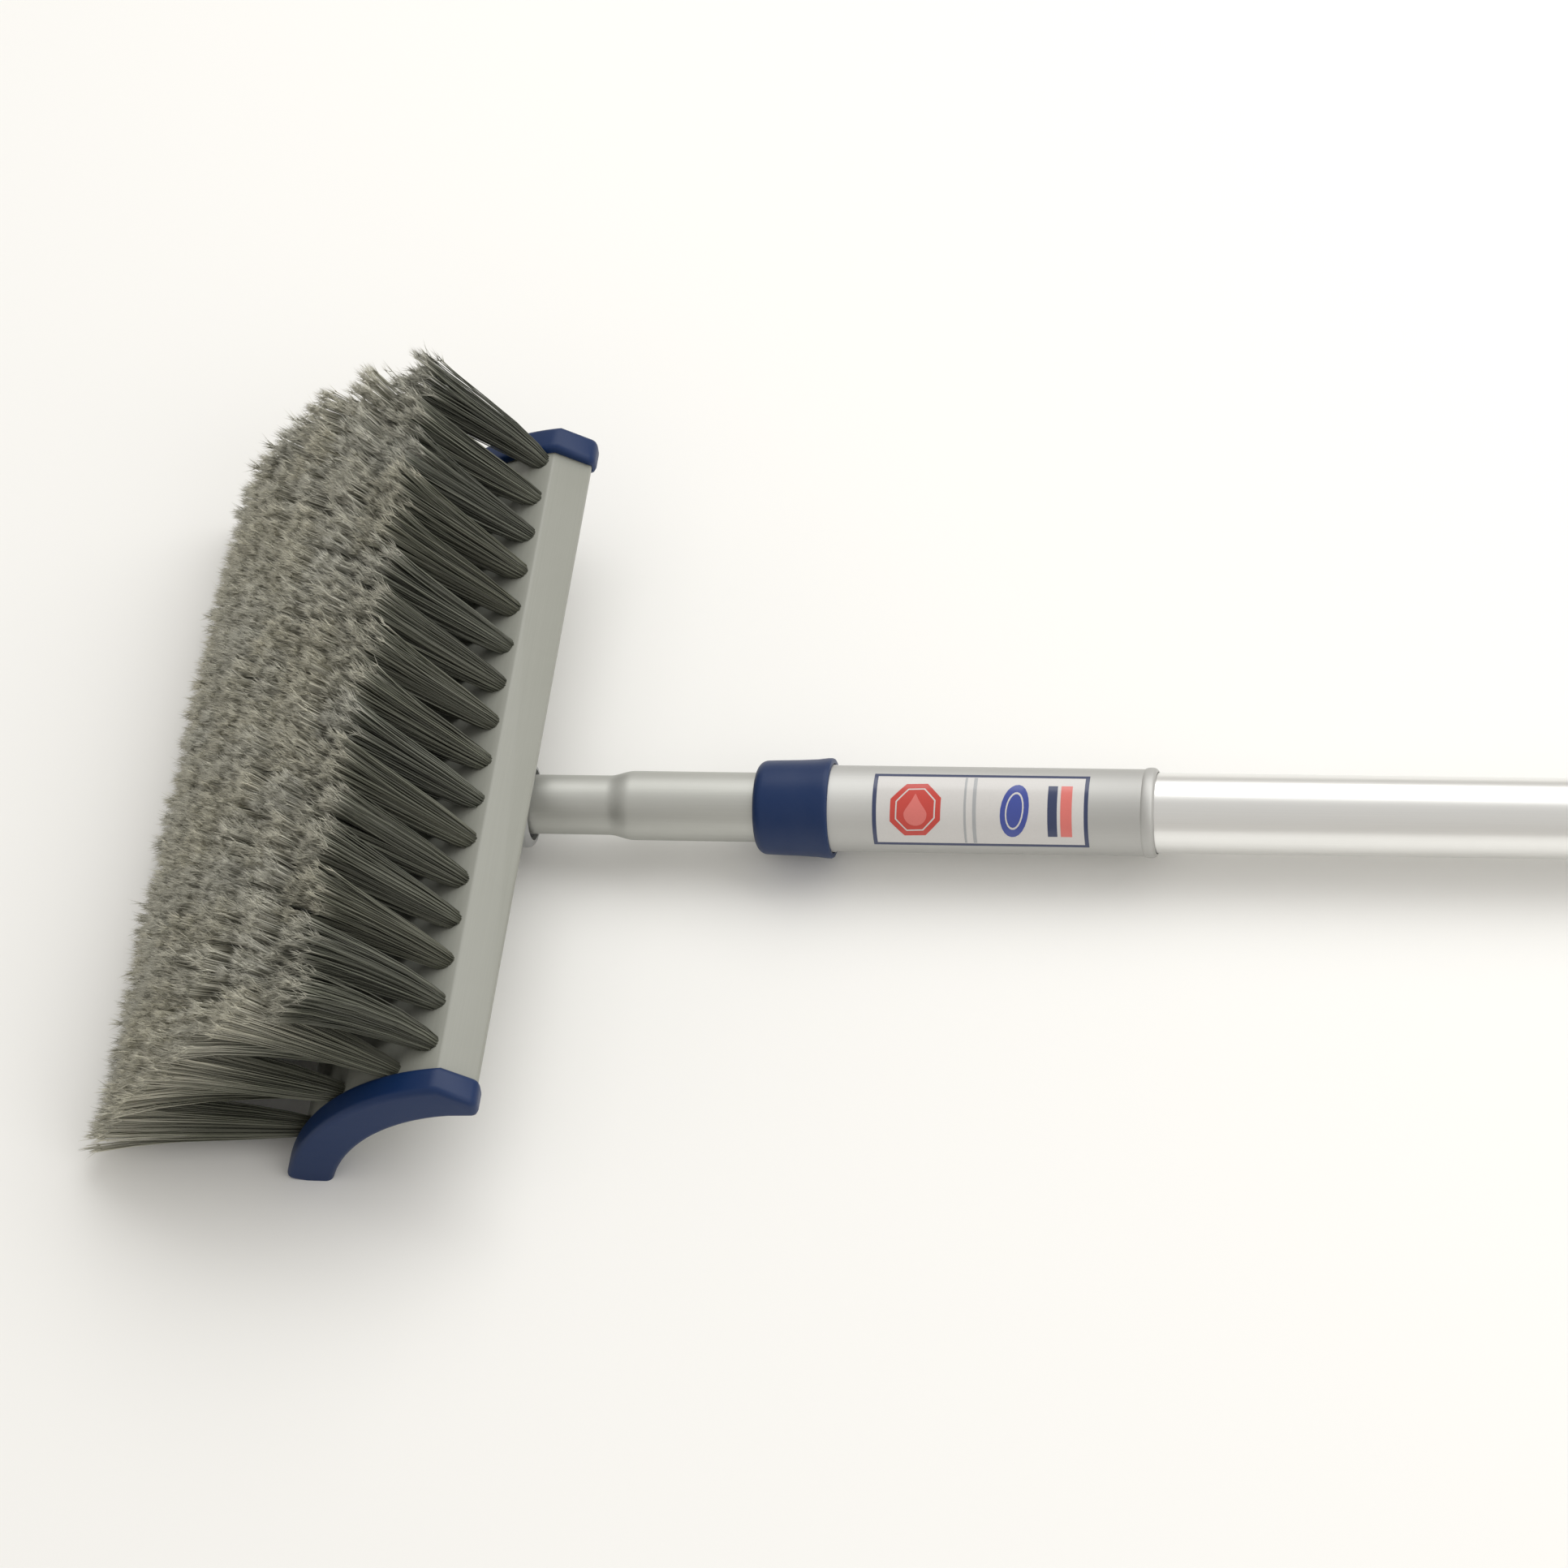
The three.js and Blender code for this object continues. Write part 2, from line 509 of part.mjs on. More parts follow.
place(inlet, 'valve_body', valveBody(), FINISH.navy());
place(inlet, 'plug_oring', tubeSeal(VALVE.plugGroove), FINISH.rubber());
place(inlet, 'valve_ball', valveBall(), FINISH.steel());
place(inlet, 'valve_seat_front', valveSeat(SEATS.front, SEATS.frontDepth), FINISH.white());
place(inlet, 'valve_seat_rear', valveSeat(SEATS.rear, SEATS.rearDepth), FINISH.white());
place(inlet, 'valve_stem', valveStem(), FINISH.brass());
place(inlet, 'stem_oring', stemRing(), FINISH.rubber());
place(inlet, 'valve_lever', valveLever(), FINISH.grey());
place(inlet, 'lever_screw', leverScrew(), FINISH.steel());
place(inlet, 'valve_tail', valveTail(), FINISH.white());

// ---------------------------------------------------------------- hose connector
const hoseNut = () => turned([[HOSE.nutFront, HOSE.bore], [HOSE.nutFront, HOSE.collarRadius],
  [HOSE.collarEnd, HOSE.nutRadius], [HOSE.waistEnd, HOSE.nutRadius],
  [HOSE.nutBack, HOSE.mouthRadius], [HOSE.nutBack, HOSE.thread], [HOSE.threadFront, HOSE.thread],
  [HOSE.threadFront, HOSE.bore]]);

place(inlet, 'hose_nut', hoseNut(), FINISH.brass());
place(inlet, 'hose_washer', tube(WASHER.front, WASHER.back, WASHER.bore, WASHER.radius, 24),
  FINISH.rubber());

// The origin is on the table, under the middle of the whole length.
const extent = new THREE.Box3().setFromObject(brush);
brush.position.x = -(extent.min.x + extent.max.x) / 2;

export default brush;
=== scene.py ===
# Telescoping flow-through wash brush: the finished surfaces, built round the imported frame.
# Blender works in metres. Sizes in this script are millimetres, turned into metres by MM.
import math

import bpy
import numpy as np
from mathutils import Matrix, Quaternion, Vector


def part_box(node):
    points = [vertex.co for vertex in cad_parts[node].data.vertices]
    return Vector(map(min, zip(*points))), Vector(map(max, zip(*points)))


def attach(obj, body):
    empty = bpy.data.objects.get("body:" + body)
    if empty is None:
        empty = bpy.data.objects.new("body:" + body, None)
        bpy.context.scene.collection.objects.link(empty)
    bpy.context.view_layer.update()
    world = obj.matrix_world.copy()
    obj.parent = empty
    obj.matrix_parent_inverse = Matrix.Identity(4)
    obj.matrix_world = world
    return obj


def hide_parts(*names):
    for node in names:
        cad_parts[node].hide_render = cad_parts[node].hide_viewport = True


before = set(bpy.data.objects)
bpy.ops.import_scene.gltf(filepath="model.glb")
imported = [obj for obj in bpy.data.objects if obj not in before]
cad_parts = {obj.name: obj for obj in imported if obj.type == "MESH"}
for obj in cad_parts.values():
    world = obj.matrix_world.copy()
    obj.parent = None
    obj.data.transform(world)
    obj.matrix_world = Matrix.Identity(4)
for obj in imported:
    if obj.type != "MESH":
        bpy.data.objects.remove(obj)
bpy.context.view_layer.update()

MM = 0.001

# ------------------------------------------------------------------ driving sizes
# x is measured along the pole from the crest of the head, z from the pole's axis.
NECK_IN_SOCKET = 19.0               # how far the neck reaches in past the crest
CREST_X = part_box("inner_tube")[0].x + NECK_IN_SOCKET * MM
TUBE_LOW, TUBE_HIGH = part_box("outer_tube")
AXIS_Z = (TUBE_LOW.z + TUBE_HIGH.z) / 2

ARC_X, ARC_Z = 6.0, -37.0           # centre of the head's curve
BLOCK_OUTER, BLOCK_INNER = 65.5, 56.0
BLOCK_EDGE = 58.0                   # radius that the sloping front strip runs down to
FRONT, CREST, REAR = 89.0, 99.0, 158.5   # angles of front edge, crest line and rear edge
BLOCK_HALF = 129.0
BUMPER_RIM = 2.5
BUMPER_INSIDE, BUMPER_OUTSIDE, BUMPER_RECESS = 126.0, 136.0, 130.9
GAP = 0.3

ROWS, TUFTS, PITCH = 6, 16, 15.875
ROW_ANGLE, ROW_ANGLE_STEP = 103.2, 10.06
ROW_LEAN, ROW_LEAN_STEP = 135.0, 8.1
ROW_LENGTH, ROW_LENGTH_STEP = 56.6, 1.8
STAGGER = 3.97
HOLE_RADIUS = 3.1
OUTLETS, OUTLET_RADIUS, OUTLET_ANGLE = 8, 1.25, 148.5

TUBE_START, TUBE_END = 95.0, 800.0
TUBE_RADIUS, TUBE_BORE = 12.7, 11.5
NUT_START, NUT_END, NUT_HOLE = 76.2, 100.7, 11.6
SLEEVE_START, SLEEVE_END = 92.0, 204.4
SLEEVE_RADIUS, SLEEVE_BORE = 13.75, 13.0
GRIP_START, GRIP_END, GRIP_RADIUS = 575.0, 799.5, 19.0
STEM_X = 826.0
LEVER_Z, LEVER_THICKNESS = 17.0, 3.6
COUPLER_START, COUPLER_END = 849.0, 873.0

ROUND = 96                          # sides of the large rounds


def at(x, y=0.0, z=0.0):
    """A point of the frame, from millimetres along the pole, across it and above its axis."""
    return Vector((CREST_X + x * MM, y * MM, AXIS_Z + z * MM))


def on_arc(radius, degrees, y=0.0):
    """A point of the frame on the head's curve."""
    turn = math.radians(degrees)
    return at(ARC_X + radius * math.cos(turn), y, ARC_Z + radius * math.sin(turn))


# ------------------------------------------------------------------ camera, floor and light
LENS, SENSOR = 145.3, 36
CAMERA_PLACE = (0.0610, -1.2327, 1.5792)
CAMERA_TARGET = (-0.2910, 0.0, 0.0311)
CAMERA_ROLL = -11.63
FARTHEST_SEEN = 30
ROOM_LOW, ROOM_HIGH = (0.92, 0.88, 0.82, 1), (1.0, 0.98, 0.945, 1)
ROOM_STRENGTH = 0.64
FLOOR_SIZE, FLOOR_ROUGHNESS = 14, 0.85
FLOOR_COLOUR = (0.88, 0.875, 0.855, 1)


def studio_camera():
    data = bpy.data.cameras.new("camera")
    data.lens = LENS
    data.sensor_width = SENSOR
    data.clip_end = FARTHEST_SEEN
    camera = bpy.data.objects.new("camera", data)
    bpy.context.scene.collection.objects.link(camera)
    camera.location = CAMERA_PLACE
    level = (Vector(CAMERA_TARGET) - camera.location).to_track_quat("-Z", "Y")
    roll = Quaternion((0, 0, 1), math.radians(CAMERA_ROLL))
    camera.rotation_euler = (level @ roll).to_euler()
    bpy.context.scene.camera = camera


def softbox(name, place, target, size, power, colour):
    """A square-edged lamp that faces its target."""
    data = bpy.data.lights.new(name, "AREA")
    data.shape = "RECTANGLE"
    data.size, data.size_y = size
    data.energy = power
    data.color = colour
    light = bpy.data.objects.new(name, data)
    bpy.context.scene.collection.objects.link(light)
    light.location = place
    light.rotation_euler = (Vector(target) - Vector(place)).to_track_quat("-Z", "Y").to_euler()


def studio():
    """Two lamps in a pale room, over a floor of white paper."""
    scene = bpy.context.scene
    scene.view_settings.view_transform = "Standard"
    softbox("key", place=(0.35, 0.85, 1.60), target=(-0.20, 0.0, 0.0), size=(2.8, 1.5), power=27,
            colour=(1.0, 1.0, 0.995))
    softbox("side", place=(1.3, -1.2, 1.5), target=(-0.30, -0.05, 0.03), size=(1.4, 1.4), power=9,
            colour=(1.0, 0.995, 0.985))
    world = bpy.data.worlds.new("pale_room")
    scene.world = world
    world.use_nodes = True
    tree = world.node_tree
    background = tree.nodes["Background"]
    coordinates = tree.nodes.new("ShaderNodeTexCoord")
    split = tree.nodes.new("ShaderNodeSeparateXYZ")
    ramp = tree.nodes.new("ShaderNodeValToRGB")
    tree.links.new(coordinates.outputs["Generated"], split.inputs[0])
    tree.links.new(split.outputs["Z"], ramp.inputs[0])
    tree.links.new(ramp.outputs["Color"], background.inputs["Color"])
    ramp.color_ramp.elements[0].color = ROOM_LOW
    ramp.color_ramp.elements[1].color = ROOM_HIGH
    background.inputs["Strength"].default_value = ROOM_STRENGTH
    bpy.ops.mesh.primitive_plane_add(size=FLOOR_SIZE, location=(0, 0, 0))
    floor = bpy.context.object
    floor.name = "floor"
    paper = bpy.data.materials.new("floor_paper")
    paper.use_nodes = True
    shader = paper.node_tree.nodes["Principled BSDF"]
    shader.inputs["Base Color"].default_value = FLOOR_COLOUR
    shader.inputs["Roughness"].default_value = FLOOR_ROUGHNESS
    floor.data.materials.append(paper)


bpy.ops.object.select_all(action="DESELECT")
studio_camera()
studio()


# ------------------------------------------------------------------ shared surface effects
def add(tree, kind, inputs=None, **settings):
    """A new node with its settings and its input values."""
    made = tree.nodes.new(kind)
    for name, value in settings.items():
        setattr(made, name, value)
    for name, value in (inputs or {}).items():
        made.inputs[name].default_value = value
    return made


def wire(tree, *links):
    """Joins sockets, each link being (output, input)."""
    for output, socket in links:
        tree.links.new(output, socket)


def effect(name, sockets_in, sockets_out):
    """An empty node group with its sockets: (name, kind, value) in, (name, kind) out."""
    group = bpy.data.node_groups.new(name, "ShaderNodeTree")
    for socket, kind, value in sockets_in:
        made = group.interface.new_socket(socket, in_out="INPUT", socket_type=kind)
        made.default_value = value
    for socket, kind in sockets_out:
        group.interface.new_socket(socket, in_out="OUTPUT", socket_type=kind)
    return group, group.nodes.new("NodeGroupInput"), group.nodes.new("NodeGroupOutput")


def grain_effect():
    """Colour and height that vary with a stretched noise on object coordinates."""
    group, inlet, outlet = effect(
        "grain",
        [("Colour", "NodeSocketColor", (1, 1, 1, 1)), ("Scale", "NodeSocketFloat", 500.0),
         ("Stretch", "NodeSocketVector", (1, 1, 1)), ("Contrast", "NodeSocketFloat", 0.1)],
        [("Colour", "NodeSocketColor"), ("Height", "NodeSocketFloat")],
    )
    coordinates = add(group, "ShaderNodeTexCoord")
    mapping = add(group, "ShaderNodeMapping")
    noise = add(group, "ShaderNodeTexNoise", {"Detail": 5.0, "Roughness": 0.6})
    centred = add(group, "ShaderNodeMath", {1: 0.5}, operation="SUBTRACT")
    scaled = add(group, "ShaderNodeMath", operation="MULTIPLY")
    around_one = add(group, "ShaderNodeMath", {1: 1.0}, operation="ADD")
    tinted = add(group, "ShaderNodeVectorMath", operation="SCALE")
    wire(group,
         (coordinates.outputs["Object"], mapping.inputs["Vector"]),
         (inlet.outputs["Stretch"], mapping.inputs["Scale"]),
         (mapping.outputs["Vector"], noise.inputs["Vector"]),
         (inlet.outputs["Scale"], noise.inputs["Scale"]),
         (noise.outputs["Fac"], centred.inputs[0]),
         (centred.outputs[0], scaled.inputs[0]),
         (inlet.outputs["Contrast"], scaled.inputs[1]),
         (scaled.outputs[0], around_one.inputs[0]),
         (inlet.outputs["Colour"], tinted.inputs[0]),
         (around_one.outputs[0], tinted.inputs["Scale"]),
         (tinted.outputs[0], outlet.inputs["Colour"]),
         (noise.outputs["Fac"], outlet.inputs["Height"]))
    return group


def wear_effect():
    """A mask that is strongest along outer edges, broken up by noise."""
    group, inlet, outlet = effect(
        "edge_wear",
        [("Radius", "NodeSocketFloat", 0.0008), ("Amount", "NodeSocketFloat", 0.5)],
        [("Mask", "NodeSocketFloat")],
    )
    rounded = add(group, "ShaderNodeBevel", samples=4)
    surface = add(group, "ShaderNodeNewGeometry")
    agreement = add(group, "ShaderNodeVectorMath", operation="DOT_PRODUCT")
    edges = add(group, "ShaderNodeMapRange",
                {"From Min": 0.995, "From Max": 0.85, "To Min": 0.0, "To Max": 1.0})
    coordinates = add(group, "ShaderNodeTexCoord")
    patches = add(group, "ShaderNodeTexNoise", {"Scale": 160.0, "Detail": 4.0})
    broken = add(group, "ShaderNodeMapRange", {"From Min": 0.42, "From Max": 0.62})
    both = add(group, "ShaderNodeMath", operation="MULTIPLY")
    amount = add(group, "ShaderNodeMath", operation="MULTIPLY", use_clamp=True)
    wire(group,
         (inlet.outputs["Radius"], rounded.inputs["Radius"]),
         (rounded.outputs[0], agreement.inputs[0]),
         (surface.outputs["Normal"], agreement.inputs[1]),
         (agreement.outputs["Value"], edges.inputs["Value"]),
         (coordinates.outputs["Object"], patches.inputs["Vector"]),
         (patches.outputs["Fac"], broken.inputs["Value"]),
         (edges.outputs[0], both.inputs[0]),
         (broken.outputs[0], both.inputs[1]),
         (both.outputs[0], amount.inputs[0]),
         (inlet.outputs["Amount"], amount.inputs[1]),
         (amount.outputs[0], outlet.inputs["Mask"]))
    return group


def dust_effect():
    """A slow cloudy mask for handling marks and settled dust."""
    group, inlet, outlet = effect(
        "handling_marks",
        [("Scale", "NodeSocketFloat", 25.0), ("Amount", "NodeSocketFloat", 0.3)],
        [("Mask", "NodeSocketFloat")],
    )
    coordinates = add(group, "ShaderNodeTexCoord")
    clouds = add(group, "ShaderNodeTexNoise", {"Detail": 8.0, "Roughness": 0.65, "Distortion": 0.6})
    shaped = add(group, "ShaderNodeMapRange", {"From Min": 0.4, "From Max": 0.75})
    amount = add(group, "ShaderNodeMath", operation="MULTIPLY")
    wire(group,
         (coordinates.outputs["Object"], clouds.inputs["Vector"]),
         (inlet.outputs["Scale"], clouds.inputs["Scale"]),
         (clouds.outputs["Fac"], shaped.inputs["Value"]),
         (shaped.outputs[0], amount.inputs[0]),
         (inlet.outputs["Amount"], amount.inputs[1]),
         (amount.outputs[0], outlet.inputs["Mask"]))
    return group


GRAIN = grain_effect()
WEAR = wear_effect()
MARKS = dust_effect()


def placed(tree, group, **values):
    """A shared effect placed in a material with its own values."""
    made = add(tree, "ShaderNodeGroup", node_tree=group)
    for name, value in values.items():
        made.inputs[name].default_value = value
    return made


def mixed(tree, factor, first, second):
    """A colour mix: factor is a socket, first and second are sockets or colours."""
    made = add(tree, "ShaderNodeMix", data_type="RGBA")
    tree.links.new(factor, made.inputs[0])
    for socket, value in ((made.inputs[6], first), (made.inputs[7], second)):
        if isinstance(value, tuple):
            socket.default_value = value
        else:
            tree.links.new(value, socket)
    return made.outputs[2]


EDGE_RADIUS = 0.7                   # how far wear reaches from an edge
MARK_SCALE = 22.0
WORN_GAIN, WORN_LIFT = 1.5, 0.03    # a worn edge is paler than the colour by these
DUST_SHARE, DUST_TONE = 0.25, 0.55
MARKED_ROUGHNESS = 0.12             # handling marks are rougher by this much
GRAIN_BUMP = 0.6


def finish_of(name, colour, roughness, metallic=0.0, scale=900.0, stretch=(1, 1, 1), contrast=0.12,
              height=0.02, wear=0.4, worn=None, marks=0.15, **constants):
    """A finish with grain, worn edges and handling marks. Constants go straight on the shader."""
    made = bpy.data.materials.new(name)
    made.use_nodes = True
    tree = made.node_tree
    shader = tree.nodes["Principled BSDF"]
    grain = placed(tree, GRAIN, Colour=(*colour, 1), Scale=scale, Stretch=stretch,
                   Contrast=contrast)
    edge = placed(tree, WEAR, Radius=EDGE_RADIUS * MM, Amount=wear)
    clouds = placed(tree, MARKS, Scale=MARK_SCALE, Amount=marks)
    pale = worn or tuple(min(1.0, WORN_GAIN * c + WORN_LIFT) for c in colour)
    dusty = tuple((1 - DUST_SHARE) * c + DUST_SHARE * DUST_TONE for c in colour)
    marked = mixed(tree, clouds.outputs["Mask"], grain.outputs["Colour"], (*dusty, 1))
    coloured = mixed(tree, edge.outputs["Mask"], marked, (*pale, 1))
    tree.links.new(coloured, shader.inputs["Base Color"])
    rough = add(tree, "ShaderNodeMapRange",
                {"To Min": roughness, "To Max": roughness + MARKED_ROUGHNESS})
    tree.links.new(clouds.outputs["Mask"], rough.inputs["Value"])
    tree.links.new(rough.outputs[0], shader.inputs["Roughness"])
    bump = add(tree, "ShaderNodeBump", {"Strength": GRAIN_BUMP, "Distance": height * MM})
    tree.links.new(grain.outputs["Height"], bump.inputs["Height"])
    tree.links.new(bump.outputs[0], shader.inputs["Normal"])
    shader.inputs["Metallic"].default_value = metallic
    for socket, value in constants.items():
        shader.inputs[socket.replace("_", " ")].default_value = value
    return made


# Filament colours from root to tip: partly the filaments' own dark shafts and paler flagged ends,
# partly painted shade on the roots deep in the tuft bed and a painted highlight on the tips that
# face the lamps.
FILAMENT_ROOT_SHADED, FILAMENT_TIP_LIT = (0.105, 0.110, 0.088, 1), (0.63, 0.62, 0.54, 1)
FILAMENT_SHADED_TO_LIT = ((0.45, (0.118, 0.123, 0.095, 1)), (0.68, (0.25, 0.252, 0.21, 1)),
                    (0.86, (0.45, 0.445, 0.385, 1)))
DARKEST_STRAND, PALEST_STRAND = 0.62, 1.38
WARM_TUFT = (1.02, 1.0, 0.94)
SHAFT_ROUGHNESS, TIP_ROUGHNESS = 0.42, 0.75
FOAM_CELLS, FOAM_DIMPLE = 900.0, 0.25


def bristle_finish():
    """Filaments: dark at the root and pale at the flagged tips, partly their own colour and partly
    painted shade at the roots and a painted highlight on the tips; each strand a little different.
    """
    made = bpy.data.materials.new("bristle_filament")
    made.use_nodes = True
    tree = made.node_tree
    shader = tree.nodes["Principled BSDF"]
    along = add(tree, "ShaderNodeAttribute", attribute_name="along")
    strand = add(tree, "ShaderNodeAttribute", attribute_name="strand")
    tuft = add(tree, "ShaderNodeAttribute", attribute_name="tuft")
    # The ramp from root to tip lays painted shade on the roots and a painted highlight on the tips,
    # over the filaments' own colour.
    ramp = add(tree, "ShaderNodeValToRGB")
    stops = ramp.color_ramp.elements
    stops[0].color, stops[1].color = FILAMENT_ROOT_SHADED, FILAMENT_TIP_LIT
    for position, colour in FILAMENT_SHADED_TO_LIT:
        stops.new(position).color = colour
    tree.links.new(along.outputs["Fac"], ramp.inputs[0])
    brightness = add(tree, "ShaderNodeMapRange", {"To Min": DARKEST_STRAND,
                                                     "To Max": PALEST_STRAND})
    tree.links.new(strand.outputs["Fac"], brightness.inputs["Value"])
    varied = add(tree, "ShaderNodeVectorMath", operation="SCALE")
    tree.links.new(ramp.outputs["Color"], varied.inputs[0])
    tree.links.new(brightness.outputs[0], varied.inputs["Scale"])
    warm = add(tree, "ShaderNodeVectorMath", operation="MULTIPLY")
    warm.inputs[1].default_value = WARM_TUFT
    tree.links.new(varied.outputs[0], warm.inputs[0])
    coloured = mixed(tree, tuft.outputs["Fac"], varied.outputs[0], warm.outputs[0])
    tree.links.new(coloured, shader.inputs["Base Color"])
    rough = add(tree, "ShaderNodeMapRange", {"To Min": SHAFT_ROUGHNESS,
                                                "To Max": TIP_ROUGHNESS})
    tree.links.new(along.outputs["Fac"], rough.inputs["Value"])
    tree.links.new(rough.outputs[0], shader.inputs["Roughness"])
    return made


def foam_finish():
    """Closed-cell foam: small dimples in a dark matt skin."""
    made = finish_of("grip_foam", (0.022, 0.023, 0.026), 0.78, scale=1500.0, contrast=0.5,
                     height=0.08, wear=0.25, marks=0.25, Sheen_Weight=0.25, Sheen_Roughness=0.5)
    tree = made.node_tree
    cells = add(tree, "ShaderNodeTexVoronoi", {"Scale": FOAM_CELLS}, feature="SMOOTH_F1")
    coordinates = add(tree, "ShaderNodeTexCoord")
    tree.links.new(coordinates.outputs["Object"], cells.inputs["Vector"])
    shader = tree.nodes["Principled BSDF"]
    first = shader.inputs["Normal"].links[0].from_node
    dimples = add(tree, "ShaderNodeBump", {"Strength": 0.8, "Distance": FOAM_DIMPLE * MM})
    tree.links.new(cells.outputs["Distance"], dimples.inputs["Height"])
    tree.links.new(first.outputs[0], dimples.inputs["Normal"])
    tree.links.new(dimples.outputs[0], shader.inputs["Normal"])
    return made


ALONG_POLE = (0.004, 1, 1)
ALONG_HEAD = (1, 0.006, 1)
BLOCK_GREY = finish_of("block_grey", (0.27, 0.275, 0.24), 0.42, scale=2200.0, stretch=ALONG_HEAD,
                       contrast=0.12, height=0.02, wear=0.5, marks=0.2, Coat_Weight=0.15)
NAVY = finish_of("navy_moulding", (0.003, 0.021, 0.085), 0.42, scale=2600.0, contrast=0.2,
                 height=0.03, wear=0.3, worn=(0.03, 0.07, 0.19), marks=0.06,
                 Specular_IOR_Level=0.32)
BRIGHT_TUBE = finish_of("bright_aluminium", (0.86, 0.86, 0.845), 0.30, 1.0, scale=5200.0,
                        stretch=ALONG_POLE, contrast=0.10, height=0.012, wear=0.3, marks=0.12)
DRAWN_TUBE = finish_of("drawn_aluminium", (0.53, 0.535, 0.505), 0.52, 1.0, scale=5200.0,
                       stretch=ALONG_POLE, contrast=0.16, height=0.02, wear=0.3, marks=0.3)
SATIN_TUBE = finish_of("satin_aluminium", (0.53, 0.53, 0.515), 0.60, 1.0, scale=5200.0,
                       stretch=ALONG_POLE, contrast=0.08, height=0.01, wear=0.3, marks=0.12)
BRIGHT_STEEL = finish_of("stainless_steel", (0.62, 0.63, 0.64), 0.22, 1.0, scale=3000.0,
                         stretch=(1, 1, 0.05), contrast=0.12, height=0.01, wear=0.3, marks=0.2)
BRASS = finish_of("turned_brass", (0.72, 0.53, 0.24), 0.26, 1.0, scale=3600.0,
                  stretch=(1, 0.03, 0.03), contrast=0.18, height=0.015, wear=0.4, marks=0.3)
RUBBER = finish_of("seal_rubber", (0.022, 0.022, 0.024), 0.62, scale=1800.0, contrast=0.3,
                   height=0.03, wear=0.2, marks=0.3)
ACETAL = finish_of("white_acetal", (0.80, 0.79, 0.74), 0.36, scale=1500.0, contrast=0.06,
                   height=0.01, wear=0.2, marks=0.1, Subsurface_Weight=0.1)
GREY_MOULDING = finish_of("grey_moulding", (0.30, 0.305, 0.30), 0.42, scale=2600.0, contrast=0.2,
                          height=0.04, wear=0.5, marks=0.15)
FILAMENT = bristle_finish()
FOAM = foam_finish()


def ink(name, colour):
    """A printed colour under a thin clear coat."""
    return finish_of(name, colour, 0.32, scale=1700.0, contrast=0.10, height=0.004, wear=0.0,
                     marks=0.08, Coat_Weight=0.4, Coat_Roughness=0.15)


INKS = {
    "white": ink("label_white", (0.60, 0.585, 0.57)),
    "navy": ink("label_navy", (0.022, 0.035, 0.10)),
    "red": ink("label_red", (0.52, 0.045, 0.032)),
    "blue": ink("label_blue", (0.035, 0.06, 0.30)),
    "rose": ink("label_rose", (0.66, 0.16, 0.14)),
    "grey": ink("label_grey", (0.36, 0.37, 0.38)),
}


# ------------------------------------------------------------------ modelling helpers
def only(piece):
    """Selects this piece and nothing else."""
    bpy.ops.object.select_all(action="DESELECT")
    bpy.context.view_layer.objects.active = piece
    piece.select_set(True)


def edit(piece):
    """Opens a piece for editing with nothing selected."""
    only(piece)
    bpy.ops.object.mode_set(mode="EDIT")
    bpy.ops.mesh.select_all(action="DESELECT")


def close():
    """Ends the editing of a piece."""
    bpy.ops.object.mode_set(mode="OBJECT")


def new_piece(name):
    """Names the primitive that was just added and puts its place into its mesh."""
    piece = bpy.context.object
    piece.name = piece.data.name = name
    bpy.ops.object.transform_apply(location=True, rotation=True, scale=True)
    return piece


def select(piece, what, test):
    """Selects the vertices or faces whose middle passes the test, in an open piece."""
    bpy.ops.object.mode_set(mode="OBJECT")
    for part in getattr(piece.data, what):
        part.select = test(part.co if what == "vertices" else part.center)
    bpy.ops.object.mode_set(mode="EDIT")


def pick_mode(kind):
    """Selecting then works on vertices (VERT) or faces (FACE)."""
    bpy.ops.mesh.select_mode(type=kind)


def apply_all(piece):
    """Makes a piece's modifiers part of its mesh."""
    only(piece)
    for modifier in list(piece.modifiers):
        bpy.ops.object.modifier_apply(modifier=modifier.name)


def soft_edges(piece, width, segments=2, angle=30.0):
    """Rounds the piece's edges that are sharper than this angle."""
    bevel = piece.modifiers.new("soft_edges", "BEVEL")
    bevel.width = width * MM
    bevel.segments = segments
    bevel.limit_method = "ANGLE"
    bevel.angle_limit = math.radians(angle)
    apply_all(piece)


def smooth(piece, angle):
    """Shades a piece smooth, with edges sharper than this angle left hard."""
    only(piece)
    bpy.ops.object.shade_smooth_by_angle(angle=math.radians(angle))


def combine(piece, tool, operation):
    """Cuts a tool out of a piece, or joins it on, and removes the tool."""
    step = piece.modifiers.new("combine", "BOOLEAN")
    step.object = tool
    step.operation = operation
    step.solver = "EXACT"
    apply_all(piece)
    bpy.data.objects.remove(tool)


def joined(pieces):
    """Makes one object of several."""
    bpy.ops.object.select_all(action="DESELECT")
    for piece in pieces:
        piece.select_set(True)
    bpy.context.view_layer.objects.active = pieces[0]
    bpy.ops.object.join()
    return bpy.context.object


SAME_POINT = 1e-6                   # points nearer than this, in metres, are one
NEARBY = 0.05                       # how near a face's middle lies to the place looked for


def outward(piece):
    """Merges doubled points, then turns the faces outwards."""
    edit(piece)
    bpy.ops.mesh.select_all(action="SELECT")
    bpy.ops.mesh.remove_doubles(threshold=SAME_POINT)
    bpy.ops.mesh.normals_make_consistent(inside=False)
    close()


